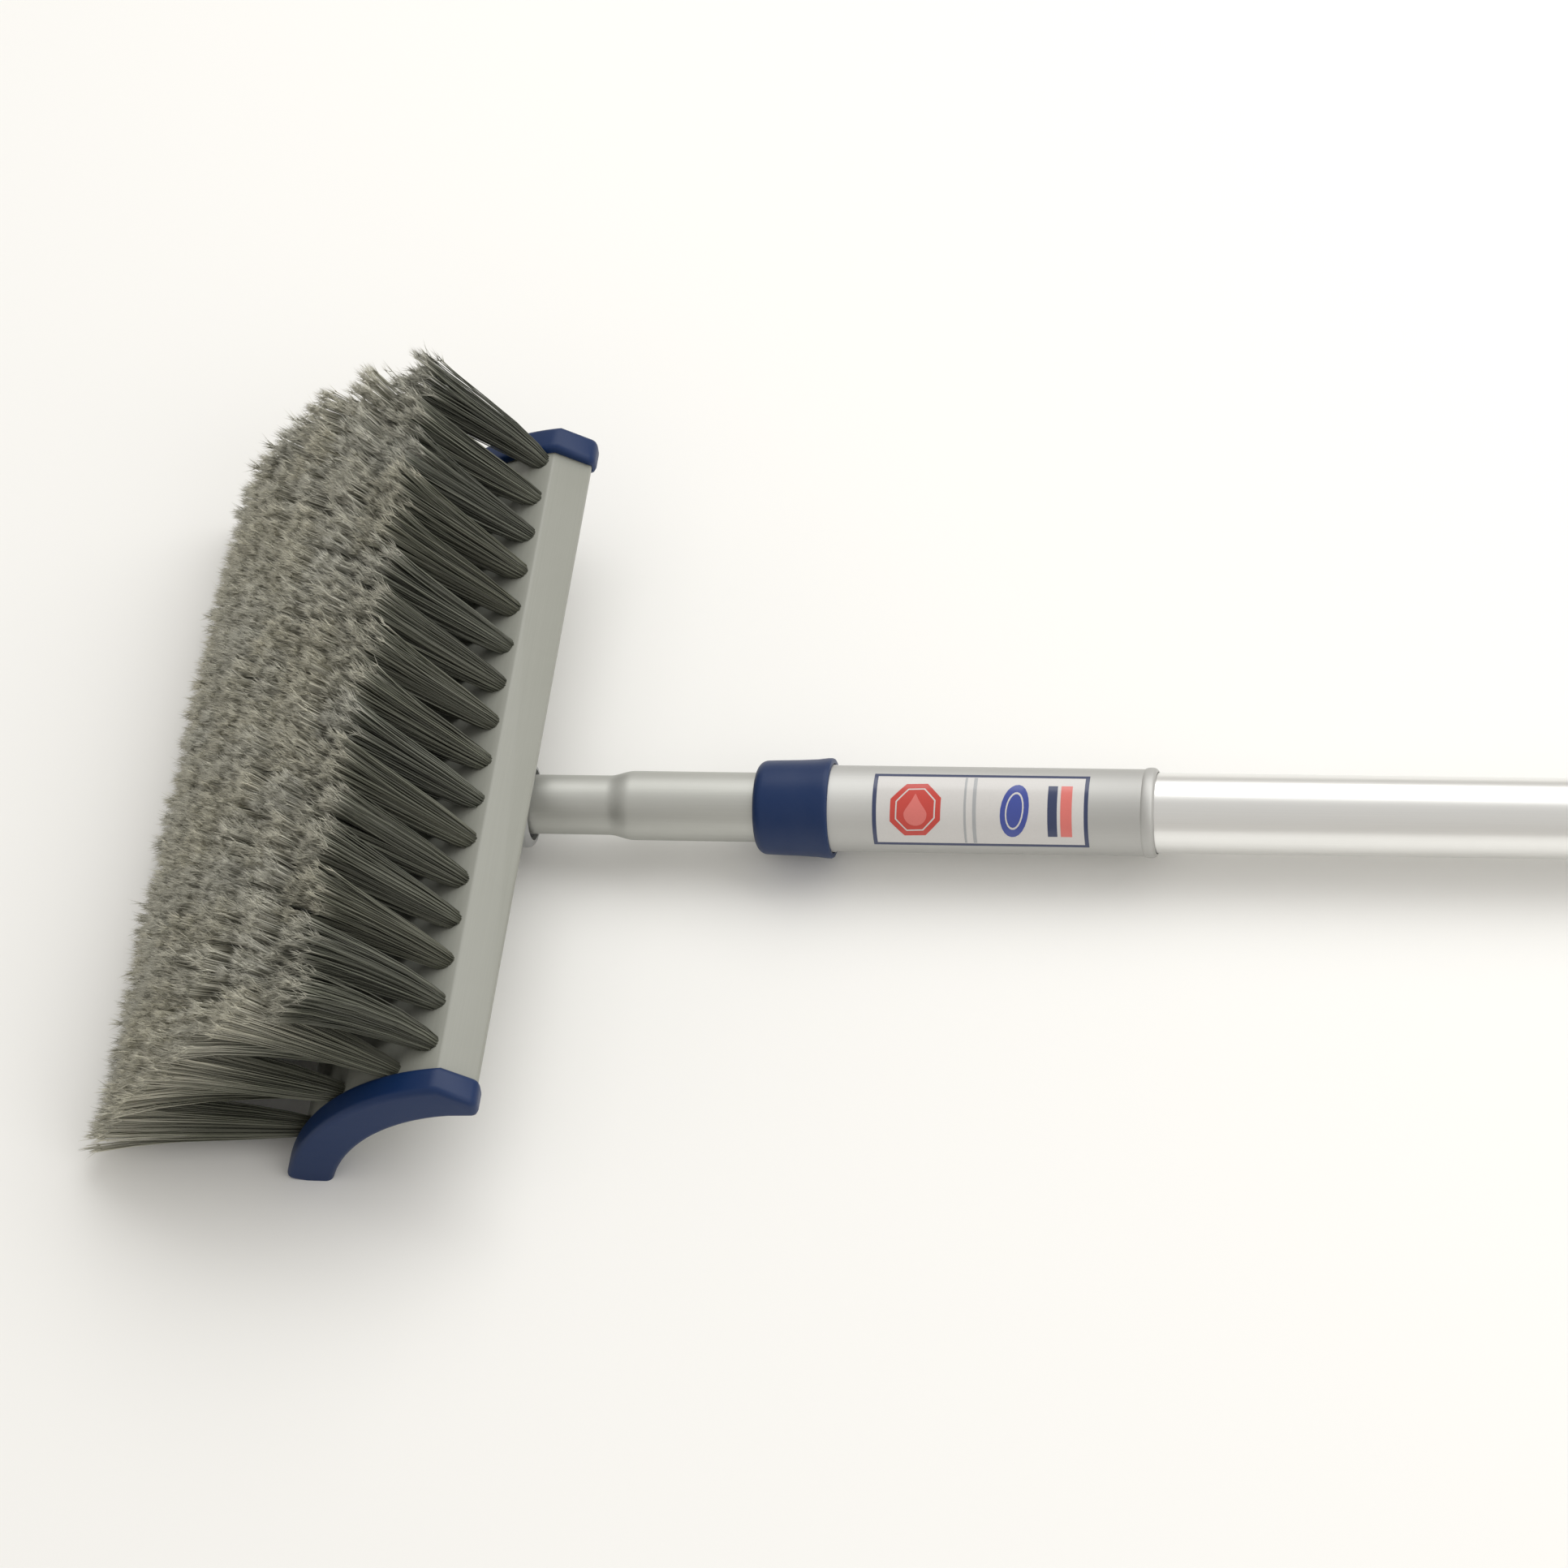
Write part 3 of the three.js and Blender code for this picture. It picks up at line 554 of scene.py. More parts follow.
def turned(name, points, segments=64, centre=None, upright=False):
    """A ring or rod round the pole, or round an upright axis, from (distance, radius) points.

    A circle is extruded and resized from point to point. It closes on itself if the last point
    is the first one, and otherwise its two ends are filled."""
    centre = at(0) if centre is None else centre
    axis = Vector((0, 0, 1)) if upright else Vector((1, 0, 0))
    along, radius = points[0]
    bpy.ops.object.select_all(action="DESELECT")
    bpy.ops.mesh.primitive_circle_add(
        vertices=segments, radius=radius * MM, location=centre + axis * along * MM,
        rotation=(0, 0, 0) if upright else (0, math.pi / 2, 0))
    piece = new_piece(name)
    edit(piece)
    bpy.ops.mesh.select_all(action="SELECT")
    for (before, old_radius), (after, new_radius) in zip(points, points[1:]):
        bpy.ops.mesh.extrude_region_move(
            TRANSFORM_OT_translate={"value": axis * (after - before) * MM})
        growth = new_radius / old_radius
        bpy.ops.transform.resize(
            value=(growth, growth, 1) if upright else (1, growth, growth),
            center_override=centre + axis * after * MM)
    bpy.ops.mesh.select_all(action="SELECT")
    if points[0] != points[-1]:
        bpy.ops.mesh.fill_holes(sides=0)
    close()
    outward(piece)
    return piece


def rounded(x, radius, size, start, steps=4):
    """The points of a quarter round of this size, from `start` degrees on, about (x, radius)."""
    return [(x + size * math.cos(math.radians(start - 90 * i / steps)),
             radius + size * math.sin(math.radians(start - 90 * i / steps)))
            for i in range(steps + 1)]


def ready(piece, material, body, slot, *nodes):
    """Gives a finished piece its finish and its body, and hides the nodes that it stands for. The
    slot is not used.
    """
    if material is not None:
        piece.data.materials.clear()
        piece.data.materials.append(material)
    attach(piece, body)
    if nodes:
        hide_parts(*nodes)


# ------------------------------------------------------------------ head block and bumpers
CURVE_STEPS = 28                    # facets from the crest to the rear edge
STRIP_START = 0.5                   # how far the front strip is first drawn out, then placed
HOLE_BOTTOM, HOLE_SIDES, HOLE_FLATTENED = 61.5, 16, 0.84
OUTLET_BOTTOM, DRILL_TOP = 60, 70
BLOCK_ROUND, BUMPER_ROUND = 0.7, 3.0
BUMPER_REAR = 6                     # degrees that a bumper runs past the block's rear edge
RECESS_MOUTH = 3                    # how far the recess tool stands out of the bumper


def swept(name, inner, outer, start, end, y0, y1, steps):
    """A curved slab: a radial face on the head's curve, spun from one angle to another."""
    bpy.ops.object.select_all(action="DESELECT")
    bpy.ops.mesh.primitive_plane_add(
        size=1, location=on_arc((inner + outer) / 2, start, (y0 + y1) / 2),
        rotation=(0, -math.radians(start), 0))
    bpy.context.object.scale = ((outer - inner) * MM, (y1 - y0) * MM, 1)
    piece = new_piece(name)
    edit(piece)
    bpy.ops.mesh.select_all(action="SELECT")
    bpy.ops.mesh.spin(steps=steps, angle=math.radians(end - start), center=on_arc(0, 0),
                      axis=(0, 1, 0))
    close()
    outward(piece)
    return piece


def crescent(name, grow, y0, y1, rear):
    """The head's curved section, grown by `grow`, running from y0 to y1.

    The face at the crest of a curved slab is drawn out into the sloping front strip."""
    inner, outer = BLOCK_INNER - grow, BLOCK_OUTER + grow
    crest, front = CREST - grow / 2, FRONT - grow / 2
    middle = on_arc((inner + outer) / 2, crest, (y0 + y1) / 2)
    piece = swept(name, inner, outer, crest, rear, y0, y1, CURVE_STEPS)
    edit(piece)
    pick_mode("FACE")
    select(piece, "polygons", lambda p: (p - middle).length < NEARBY * MM)
    bpy.ops.mesh.extrude_region_move(TRANSFORM_OT_translate={"value": (STRIP_START * MM, 0, 0)})
    pick_mode("VERT")
    close()
    centre = on_arc(0, 0)
    near_inner, near_outer = on_arc(inner, front), on_arc(BLOCK_EDGE + grow, front)
    split = (inner + outer) / 2 * MM
    for vertex in piece.data.vertices:
        if vertex.select:
            offset = vertex.co - centre
            offset.y = 0
            goal = near_inner if offset.length < split else near_outer
            vertex.co = Vector((goal.x, vertex.co.y, goal.z))
    outward(piece)
    return piece


def rod(radius, bottom, degrees, y, flatten=1.0):
    """A drill that points away from the centre of the head's curve."""
    turn = math.radians(degrees)
    bpy.ops.object.select_all(action="DESELECT")
    bpy.ops.mesh.primitive_cylinder_add(
        vertices=HOLE_SIDES, radius=radius * MM, depth=(DRILL_TOP - bottom) * MM,
        location=on_arc((bottom + DRILL_TOP) / 2, degrees, y),
        rotation=(0, math.pi / 2 - turn, 0))
    bpy.context.object.scale.x = flatten
    return new_piece("drill")


def row_angle(row):
    """Where a row's holes stand on the head's curve, in degrees."""
    return ROW_ANGLE + row * ROW_ANGLE_STEP


def tuft_y(row, tuft):
    """Where a tuft's hole stands along the head. Rows are staggered by half a pitch."""
    shift = STAGGER if row % 2 == 0 else -STAGGER
    return (tuft - (TUFTS - 1) / 2) * PITCH + shift


def head_block():
    """The hollow block, with a drilled hole for every tuft and a line of water outlets."""
    block = crescent("block_shell", 0.0, -BLOCK_HALF, BLOCK_HALF, REAR)
    soft_edges(block, BLOCK_ROUND, segments=3, angle=12.0)
    drills = [rod(HOLE_RADIUS, HOLE_BOTTOM, row_angle(row), tuft_y(row, tuft), HOLE_FLATTENED)
              for row in range(ROWS) for tuft in range(TUFTS)]
    spacing = 2 * PITCH
    drills += [rod(OUTLET_RADIUS, OUTLET_BOTTOM, OUTLET_ANGLE, (i - (OUTLETS - 1) / 2) * spacing)
               for i in range(OUTLETS)]
    combine(block, joined(drills), "DIFFERENCE")
    smooth(block, 28.0)
    ready(block, BLOCK_GREY, "brush", "block_plastic", "head_block")


def end_bumper(name, side):
    """A soft moulded cap over one end of the block, cut flat where it stands on the table."""
    y0, y1 = sorted((side * BUMPER_INSIDE, side * BUMPER_OUTSIDE))
    cap = crescent(f"{name}_cap", BUMPER_RIM, y0, y1, REAR + BUMPER_REAR)
    soft_edges(cap, BUMPER_ROUND, segments=6, angle=40.0)
    edit(cap)
    bpy.ops.mesh.select_all(action="SELECT")
    bpy.ops.mesh.bisect(plane_co=(0, 0, 0), plane_no=(0, 0, -1), use_fill=True, clear_outer=True)
    close()
    y0, y1 = sorted((side * (BUMPER_INSIDE - RECESS_MOUTH), side * BUMPER_RECESS))
    recess = crescent("recess", GAP, y0, y1, REAR + GAP)
    combine(cap, recess, "DIFFERENCE")
    smooth(cap, 40.0)
    ready(cap, NAVY, "brush", "navy_plastic", name)


# ------------------------------------------------------------------ bristles
FILAMENTS = 262                     # in one tuft
RINGS = 6                           # rings of points along one filament
FLAGS = 3                           # split ends of one filament
FILAMENT_RADIUS = 0.23
ROOT_DEPTH = 2.5                    # how deep a tuft stands in its hole
ROOT_FILL = (0.80, 0.93)            # share of the hole that the roots fill
MIDDLE = 4.9                        # half width of the finger that a tuft forms
TIP_SIDE, TIP_ACROSS = 10.4, 8.6    # half size of a tuft's face
SQUARENESS = 3.4                    # power that squares off the face: 2 would leave it round
FLAG_LENGTH = 3.2
FLAG_OVERLAP = 0.8                  # share of the split ends that stands past the filament
CLUMPS = 40                         # groups that the tips of one tuft gather in
GATHER, GATHER_VARIES = 0.42, 0.40  # how far the tips move to the middle of their group
STRAY, TUFT_STRAY = 0.30, 0.5       # loose tips, and whole tufts out of line
PITS, PITS_FRONT = 0.17, 0.26       # share of those groups that stay short, as dark pits
PIT_DEPTH, CLUMP_VARIES = 4.2, 1.1
TUFT_VARIES, FILAMENT_VARIES = 0.4, 0.7
CROWN = 0.6                         # how much shorter a tuft's rim is than its middle
END_SPLAY = 6.5                     # how far the outermost tufts fan out
END_BOW, END_BOW_POWER = 2.6, 13    # how far the last tuft at the far end bows outwards
TRIM = 0.55                         # how far the faces are trimmed towards one common slope
BOW = 0.45                          # bend of single filaments
LIT_PALE_FRONT, LIT_PALE_REAR = 6.0, 16.0   # length of the pale ends, front row and other rows: longer on the rear rows as a painted highlight where their tips face the lamps
LIT_PALE_NEAR = 25.0                    # the same, on the tufts next to the near end, where the longer pale end is also a painted highlight
PALE_FADE = 2.5                     # the whole colour change, in lengths of the pale end
RING_SHARES = np.array([0.0, 0.12, 0.32, 0.58, 0.82, 1.0])   # where the rings stand


def tuft_paths(rng, row, tuft):
    """The middle line of every filament of one tuft, as offsets in (side, across, along)."""
    disc = np.sqrt(rng.random(FILAMENTS))
    turn = rng.random(FILAMENTS) * 2 * np.pi
    unit = np.stack([np.cos(turn), np.sin(turn)], 1)
    squared = (np.abs(unit) ** SQUARENESS).sum(1, keepdims=True) ** (-1 / SQUARENESS)
    root = disc[:, None] * unit * (HOLE_RADIUS * ROOT_FILL[0], HOLE_RADIUS * ROOT_FILL[1])
    middle = disc[:, None] * unit * MIDDLE
    tip = disc[:, None] * unit * squared * (TIP_SIDE, TIP_ACROSS)
    clumps = (rng.random((CLUMPS, 2)) * 2 - 1) * (TIP_SIDE, TIP_ACROSS)
    nearest = ((tip[:, None] - clumps[None]) ** 2).sum(2).argmin(1)
    gathered = GATHER + GATHER_VARIES * rng.random((FILAMENTS, 1))
    tip += (clumps[nearest] - tip) * gathered
    tip += rng.normal(0, STRAY, (FILAMENTS, 2)) + rng.normal(0, TUFT_STRAY, 2)
    reach = 2 * tuft / (TUFTS - 1) - 1
    middle[:, 1] += END_BOW * max(0.0, reach) ** END_BOW_POWER
    shift = tuft_y(row, tuft) - reach * (TUFTS - 1) / 2 * PITCH
    tip[:, 1] += END_SPLAY * np.sign(reach) * abs(reach) ** 3 - shift * abs(reach) ** 4
    length = ROW_LENGTH + row * ROW_LENGTH_STEP - FLAG_LENGTH * FLAG_OVERLAP
    slope = math.tan(math.radians(TRIM * row * ROW_LEAN_STEP))
    length = length - tip[:, 0] * slope + rng.normal(0, TUFT_VARIES)
    length = length + rng.normal(0, FILAMENT_VARIES, FILAMENTS)
    short = rng.random(CLUMPS) < (PITS if row > 1 else PITS_FRONT)
    uneven = rng.normal(0, CLUMP_VARIES, CLUMPS) - PIT_DEPTH * short
    length = length + uneven[nearest] - CROWN * disc ** 4
    swell = (1 - (1 - RING_SHARES) ** 5)[None, :, None]
    flare = (RING_SHARES ** 2.0)[None, :, None]
    bow = rng.normal(0, BOW, (FILAMENTS, 1, 2)) * np.sin(RING_SHARES * np.pi)[None, :, None]
    offset = root[:, None] + (middle - root)[:, None] * swell
    offset = offset + (tip - middle)[:, None] * flare + bow
    along = -ROOT_DEPTH + (length[:, None] + ROOT_DEPTH) * RING_SHARES[None]
    return np.concatenate([offset, along[:, :, None]], 2), length


TAPER = 0.25                        # how much a shaft thins towards its tip
FLAG_LEAN = 0.34                    # how far the split ends lean apart
FLAG_SET = 0.6                      # how far below the tip a split end starts
FLAG_BASE = 0.62                    # its width against the shaft's
FLAG_SPREAD = 0.3                   # how far apart the split ends start
FLAG_SHORTEST, FLAG_RANGE = 0.6, 0.7


def filament_points(rng, paths):
    """Rings round every path, then the small cones of its split ends."""
    count = len(paths)
    corner = np.arange(3) * 2 * np.pi / 3 + rng.random((count, 1)) * 2 * np.pi
    ring = np.stack([np.cos(corner), np.sin(corner), np.zeros_like(corner)], 2)
    radius = FILAMENT_RADIUS * (1 - TAPER * RING_SHARES ** 3)
    shaft = paths[:, :, None] + ring[:, None] * radius[None, :, None, None]
    tip = paths[:, -1]
    heading = tip - paths[:, -2]
    heading /= np.linalg.norm(heading, axis=1, keepdims=True)
    lean = rng.normal(0, FLAG_LEAN, (count, FLAGS, 3)) * (1, 1, 0)
    reach = FLAG_LENGTH * (FLAG_SHORTEST + FLAG_RANGE * rng.random((count, FLAGS, 1)))
    apex = tip[:, None] + (heading[:, None] + lean) * reach
    start = tip - heading * FLAG_SET
    base = start[:, None, None] + ring[:, None] * FILAMENT_RADIUS * FLAG_BASE
    base = np.repeat(base, FLAGS, 1) + lean[:, :, None] * FLAG_SPREAD
    cones = np.concatenate([base, apex[:, :, None]], 2)
    return np.concatenate([shaft.reshape(count, -1, 3), cones.reshape(count, -1, 3)], 1)


def filament_faces():
    """The triangles of one filament: shaft, two caps, and the cones at its tip."""
    faces = [(2, 1, 0)]
    for ring in range(RINGS - 1):
        for side in range(3):
            a, b = 3 * ring + side, 3 * ring + (side + 1) % 3
            faces += [(a, b, b + 3), (a, b + 3, a + 3)]
    top = 3 * (RINGS - 1)
    faces.append((top, top + 1, top + 2))
    for flag in range(FLAGS):
        base = 3 * RINGS + 4 * flag
        faces.append((base + 2, base + 1, base))
        faces += [(base + i, base + (i + 1) % 3, base + 3) for i in range(3)]
    return np.array(faces)


FIRST_SEED = 1000


def bristle_row(row):
    """One row of tufts as a single mesh, with attributes along, strand and tuft."""
    rng = np.random.default_rng(FIRST_SEED + row)
    lean = math.radians(ROW_LEAN + row * ROW_LEAN_STEP)
    forward = np.array([math.cos(lean), 0.0, math.sin(lean)])
    side = np.array([forward[2], 0.0, -forward[0]])
    axes = np.stack([side, [0.0, 1.0, 0.0], forward]) * MM
    # The pale ends carry a painted highlight on the lit tips, over the flagged ends' own paler
    # colour. They are short on the front row and long on the other rows.
    pale = LIT_PALE_REAR if row else LIT_PALE_FRONT
    points, alongs, strands, tufts = [], [], [], []
    for tuft in range(TUFTS):
        paths, lengths = tuft_paths(rng, row, tuft)
        local = filament_points(rng, paths)
        root = np.array(on_arc(BLOCK_OUTER, row_angle(row), tuft_y(row, tuft)))
        points.append(local.reshape(-1, 3) @ axes + root)
        left = (1 - RING_SHARES[None]) * lengths[:, None] + FLAG_LENGTH * FLAG_OVERLAP
        left = np.repeat(left, 3, axis=1)
        ends = np.tile([FLAG_LENGTH, FLAG_LENGTH, FLAG_LENGTH, 0.0], (FILAMENTS, FLAGS))
        left = np.concatenate([left, ends], 1)
        # The first tufts of the rear rows get longer pale ends: more painted highlight at the near
        # end.
        near_end = max(0.0, 1 - tuft / 2) if row else 0.0
        lit_pale_here = pale + (LIT_PALE_NEAR - pale) * near_end
        alongs.append(np.clip(1 - left / (PALE_FADE * lit_pale_here), 0, 1).ravel())
        strands.append(np.repeat(rng.random(FILAMENTS), left.shape[1]))
        tufts.append(np.full(left.size, rng.random()))
    points = np.concatenate(points)
    one = filament_faces()
    start = np.arange(TUFTS * FILAMENTS)[:, None, None] * (3 * RINGS + 4 * FLAGS)
    triangles = (one[None] + start).reshape(-1, 3)
    mesh = bpy.data.meshes.new(f"tufts_row_{row + 1}")
    mesh.vertices.add(len(points))
    mesh.vertices.foreach_set("co", points.astype(np.float32).ravel())
    mesh.loops.add(triangles.size)
    mesh.loops.foreach_set("vertex_index", triangles.astype(np.int32).ravel())
    mesh.polygons.add(len(triangles))
    mesh.polygons.foreach_set("loop_start", np.arange(0, triangles.size, 3, dtype=np.int32))
    mesh.update(calc_edges=True)
    mesh.shade_smooth()
    for name, values in (("along", alongs), ("strand", strands), ("tuft", tufts)):
        data = mesh.attributes.new(name, "FLOAT", "POINT").data
        data.foreach_set("value", np.concatenate(values).astype(np.float32))
    piece = bpy.data.objects.new(mesh.name, mesh)
    bpy.context.scene.collection.objects.link(piece)
    ready(piece, FILAMENT, "brush", "bristle_fibre", f"bristle_row_{row + 1}")


# ------------------------------------------------------------------ pole socket and its screws
FLANGE_INNER, FLANGE_OUTER = 51.7, 54.7
FLANGE_START, FLANGE_END, FLANGE_HALF, FLANGE_STEPS = 122.0, 157.0, 21.0, 20
BOSS_END, BOSS_RADIUS, SOCKET_BORE = -44.0, 14.0, 9.8
SCREW_ACROSS, SCREW_ANGLES = 17.2, (128.0, 150.0)
SCREW_SEAT = 57.5
SCREW_PROFILE = [(0, 1.3), (-5.9, 1.3), (-5.9, 2.8), (-6.8, 2.75), (-7.6, 2.2), (-7.9, 1.3)]


def pole_socket():
    """The moulded socket: a round boss, cut to the curve, on a curved flange."""
    flange = swept("socket_shell", FLANGE_INNER, FLANGE_OUTER, FLANGE_START, FLANGE_END,
                   -FLANGE_HALF, FLANGE_HALF, FLANGE_STEPS)
    soft_edges(flange, 0.8, segments=2, angle=40.0)
    boss = turned("boss", [(BOSS_END, BOSS_RADIUS), *rounded(1.0, BOSS_RADIUS - 2.0, 2.0, 90.0),
                           (3.0, 10.2)], 64)
    bpy.ops.object.select_all(action="DESELECT")
    bpy.ops.mesh.primitive_cylinder_add(
        vertices=128, radius=(FLANGE_OUTER - 0.1) * MM, depth=100 * MM, location=on_arc(0, 0),
        rotation=(math.pi / 2, 0, 0))
    combine(boss, new_piece("inside"), "INTERSECT")
    combine(flange, boss, "UNION")
    bore = turned("bore", [(-NECK_IN_SOCKET - 0.5, SOCKET_BORE), (0.0, SOCKET_BORE), (0.0, 11.6),
                           (6.0, 11.6)], 48)
    combine(flange, bore, "DIFFERENCE")
    smooth(flange, 30.0)
    ready(flange, GREY_MOULDING, "brush", "grey_plastic", "pole_socket")


def cross_recess(screw, place, blade, turns):
    """Cuts two blades of a screwdriver's cross into a screw's head."""
    for turn in turns:
        bpy.ops.mesh.primitive_cube_add(size=1, location=place, rotation=(0, 0, turn))
        bpy.context.object.scale = Vector(blade) * MM
        combine(screw, new_piece("blade"), "DIFFERENCE")


def socket_screws():
    """Four pan-head screws with a cross recess, set round the curve."""
    places = [(y, degrees) for y in (-SCREW_ACROSS, SCREW_ACROSS) for degrees in SCREW_ANGLES]
    for number, (y, degrees) in enumerate(places, 1):
        screw = turned("screw", SCREW_PROFILE, 32, Vector((0, 0, 0)), upright=True)
        cross_recess(screw, (0, 0, -8 * MM), (2.6, 0.6, 2), (0, math.pi / 2))
        screw.name = screw.data.name = f"pan_screw_{number}"
        screw.location = on_arc(SCREW_SEAT, degrees, y)
        screw.rotation_euler = (0, math.pi / 2 - math.radians(degrees), 0)
        only(screw)
        bpy.ops.object.transform_apply(location=True, rotation=True, scale=True)
        smooth(screw, 35.0)
        ready(screw, BRIGHT_STEEL, "brush", "steel", f"socket_screw_{number}")


# ------------------------------------------------------------------ pole
NECK_RADIUS, INNER_RADIUS, INNER_WALL = 9.525, 11.1, 1.25
WAIST_START, WAIST_LENGTH, WAIST_STEPS = 27.6, 8.4, 10
INNER_END = 735.0
CHAMFER = 0.3                       # on the ends of the tubes
PIN_X, PIN_RADIUS = -9.5, 2.3


def inner_tube():
    """The swaged inner tube: a thin neck, a smooth waist and the full tube."""
    rise = INNER_RADIUS - NECK_RADIUS
    waist = [(WAIST_START + WAIST_LENGTH * i / WAIST_STEPS,
              NECK_RADIUS + rise * (1 - math.cos(math.pi * i / WAIST_STEPS)) / 2)
             for i in range(WAIST_STEPS + 1)]
    outside = [(-NECK_IN_SOCKET, NECK_RADIUS - CHAMFER), (-NECK_IN_SOCKET + CHAMFER, NECK_RADIUS),
               *waist, (INNER_END - CHAMFER, INNER_RADIUS), (INNER_END, INNER_RADIUS - CHAMFER)]
    inside = [(INNER_END, INNER_RADIUS - INNER_WALL),
              *[(x, radius - INNER_WALL) for x, radius in reversed(waist)],
              (-NECK_IN_SOCKET, NECK_RADIUS - INNER_WALL)]
    tube = turned("inner_pole", [*outside, *inside, outside[0]], ROUND)
    pin = turned("pin_hole", [(-14, PIN_RADIUS), (14, PIN_RADIUS)], 24, at(PIN_X), upright=True)
    combine(tube, pin, "DIFFERENCE")
    smooth(tube, 30.0)
    ready(tube, DRAWN_TUBE, "brush", "tube_aluminium", "inner_tube")


def outer_tube():
    """The plain outer tube."""
    inside = TUBE_BORE
    tube = turned("outer_pole", [
        (TUBE_START, inside), (TUBE_START, TUBE_RADIUS - CHAMFER),
        (TUBE_START + CHAMFER, TUBE_RADIUS), (TUBE_END - CHAMFER, TUBE_RADIUS),
        (TUBE_END, TUBE_RADIUS - CHAMFER), (TUBE_END, inside), (TUBE_START, inside)], ROUND)
    smooth(tube, 30.0)
    ready(tube, BRIGHT_TUBE, "handle", "tube_aluminium", "outer_tube")


def lock_nut():
    """The collar: round-nosed, flaring a little to its open end."""
    nose = 3.4
    outside = [(NUT_START, NUT_HOLE), *rounded(NUT_START + nose, NUT_HOLE, nose, 180.0, 8),
               (84.0, 15.15), (90.0, 15.3), (95.6, 15.6), (98.8, 16.0), (100.0, 16.0),
               (100.5, 15.8), (NUT_END, 15.4)]
    inside = [(NUT_END, 14.35), (85.0, 14.35), (78.6, 11.9), (78.0, NUT_HOLE),
              (NUT_START, NUT_HOLE)]
    nut = turned("lock_collar", [*outside, *inside], ROUND)
    smooth(nut, 30.0)
    ready(nut, NAVY, "nut", "navy_plastic", "lock_nut")


def lock_sleeve():
    """The satin sleeve: a thicker part under the collar, then a rolled bead at its far end."""
    under_nut, bead_x = 13.95, 202.2
    bead = [(bead_x + 1.9 * math.sin(math.radians(turn)),
             SLEEVE_RADIUS - 0.1 + 0.65 * math.cos(math.radians(turn)))
            for turn in range(-80, 81, 16)]
    outside = [(SLEEVE_START, 13.2), (SLEEVE_START, 13.75), (SLEEVE_START + 0.3, under_nut),
               (101.3, under_nut), (101.7, SLEEVE_RADIUS), (200.2, SLEEVE_RADIUS), *bead,
               (SLEEVE_END, 13.3)]
    inside = [(SLEEVE_END, SLEEVE_BORE), (SLEEVE_START, SLEEVE_BORE), (SLEEVE_START, 13.2)]
    sleeve = turned("satin_sleeve", [*outside, *inside], ROUND)
    smooth(sleeve, 30.0)
    ready(sleeve, SATIN_TUBE, "handle", "satin_aluminium", "lock_sleeve")


# ------------------------------------------------------------------ printed label
LABEL_START, LABEL_END = 115.1, 183.8
LABEL_HALF = 13.0                   # half its width, measured round the sleeve
LABEL_TURN = 128.5                  # where its middle faces, from +Y towards +Z
LAYER = 0.06                        # one printed layer over another
FILM = 0.05                         # thickness of one layer
RIM = 1.3                           # width of the navy rim
STOP_SIGN_X, RULES_X, OVAL_X, BARS_X = 13.8, (29.6, 32.6), 45.4, (57.4, 61.8)


def patch(ink_name, x, length, width, layer, corners=4, v=0.0):
    """A flat printed shape on the label: a rectangle, or a round one with many corners.

    x runs along the sleeve and v round it. Both are millimetres until the label is wrapped."""
    bpy.ops.object.select_all(action="DESELECT")
    if corners == 4:
        across = max(2, int(1.5 * width))
        bpy.ops.mesh.primitive_grid_add(x_subdivisions=2, y_subdivisions=across, size=2)
    else:
        bpy.ops.mesh.primitive_circle_add(vertices=corners, radius=1, fill_type="TRIFAN",
                                          rotation=(0, 0, math.pi / corners))
    shape = bpy.context.object
    shape.scale = (length / 2, width / 2, 1)
    shape.location = (x, v, layer * LAYER)
    shape = new_piece("patch")
    if corners != 4:
        edit(shape)
        bpy.ops.mesh.select_all(action="SELECT")
        bpy.ops.mesh.subdivide(number_cuts=5)
        close()
    shape.data.materials.append(INKS[ink_name])
    return shape


def drop(ink_name, x, v, size, layer):
    """A plain water drop: a round patch whose top is drawn out to a point."""
    shape = patch(ink_name, x, size, size, layer, 24, v)
    for vertex in shape.data.vertices:
        rise = max(0.0, (v - vertex.co.y) / (size / 2))
        vertex.co.y -= 0.75 * size / 2 * rise ** 3
        vertex.co.x = x + (vertex.co.x - x) * (1 - 0.75 * rise ** 2)
    return shape


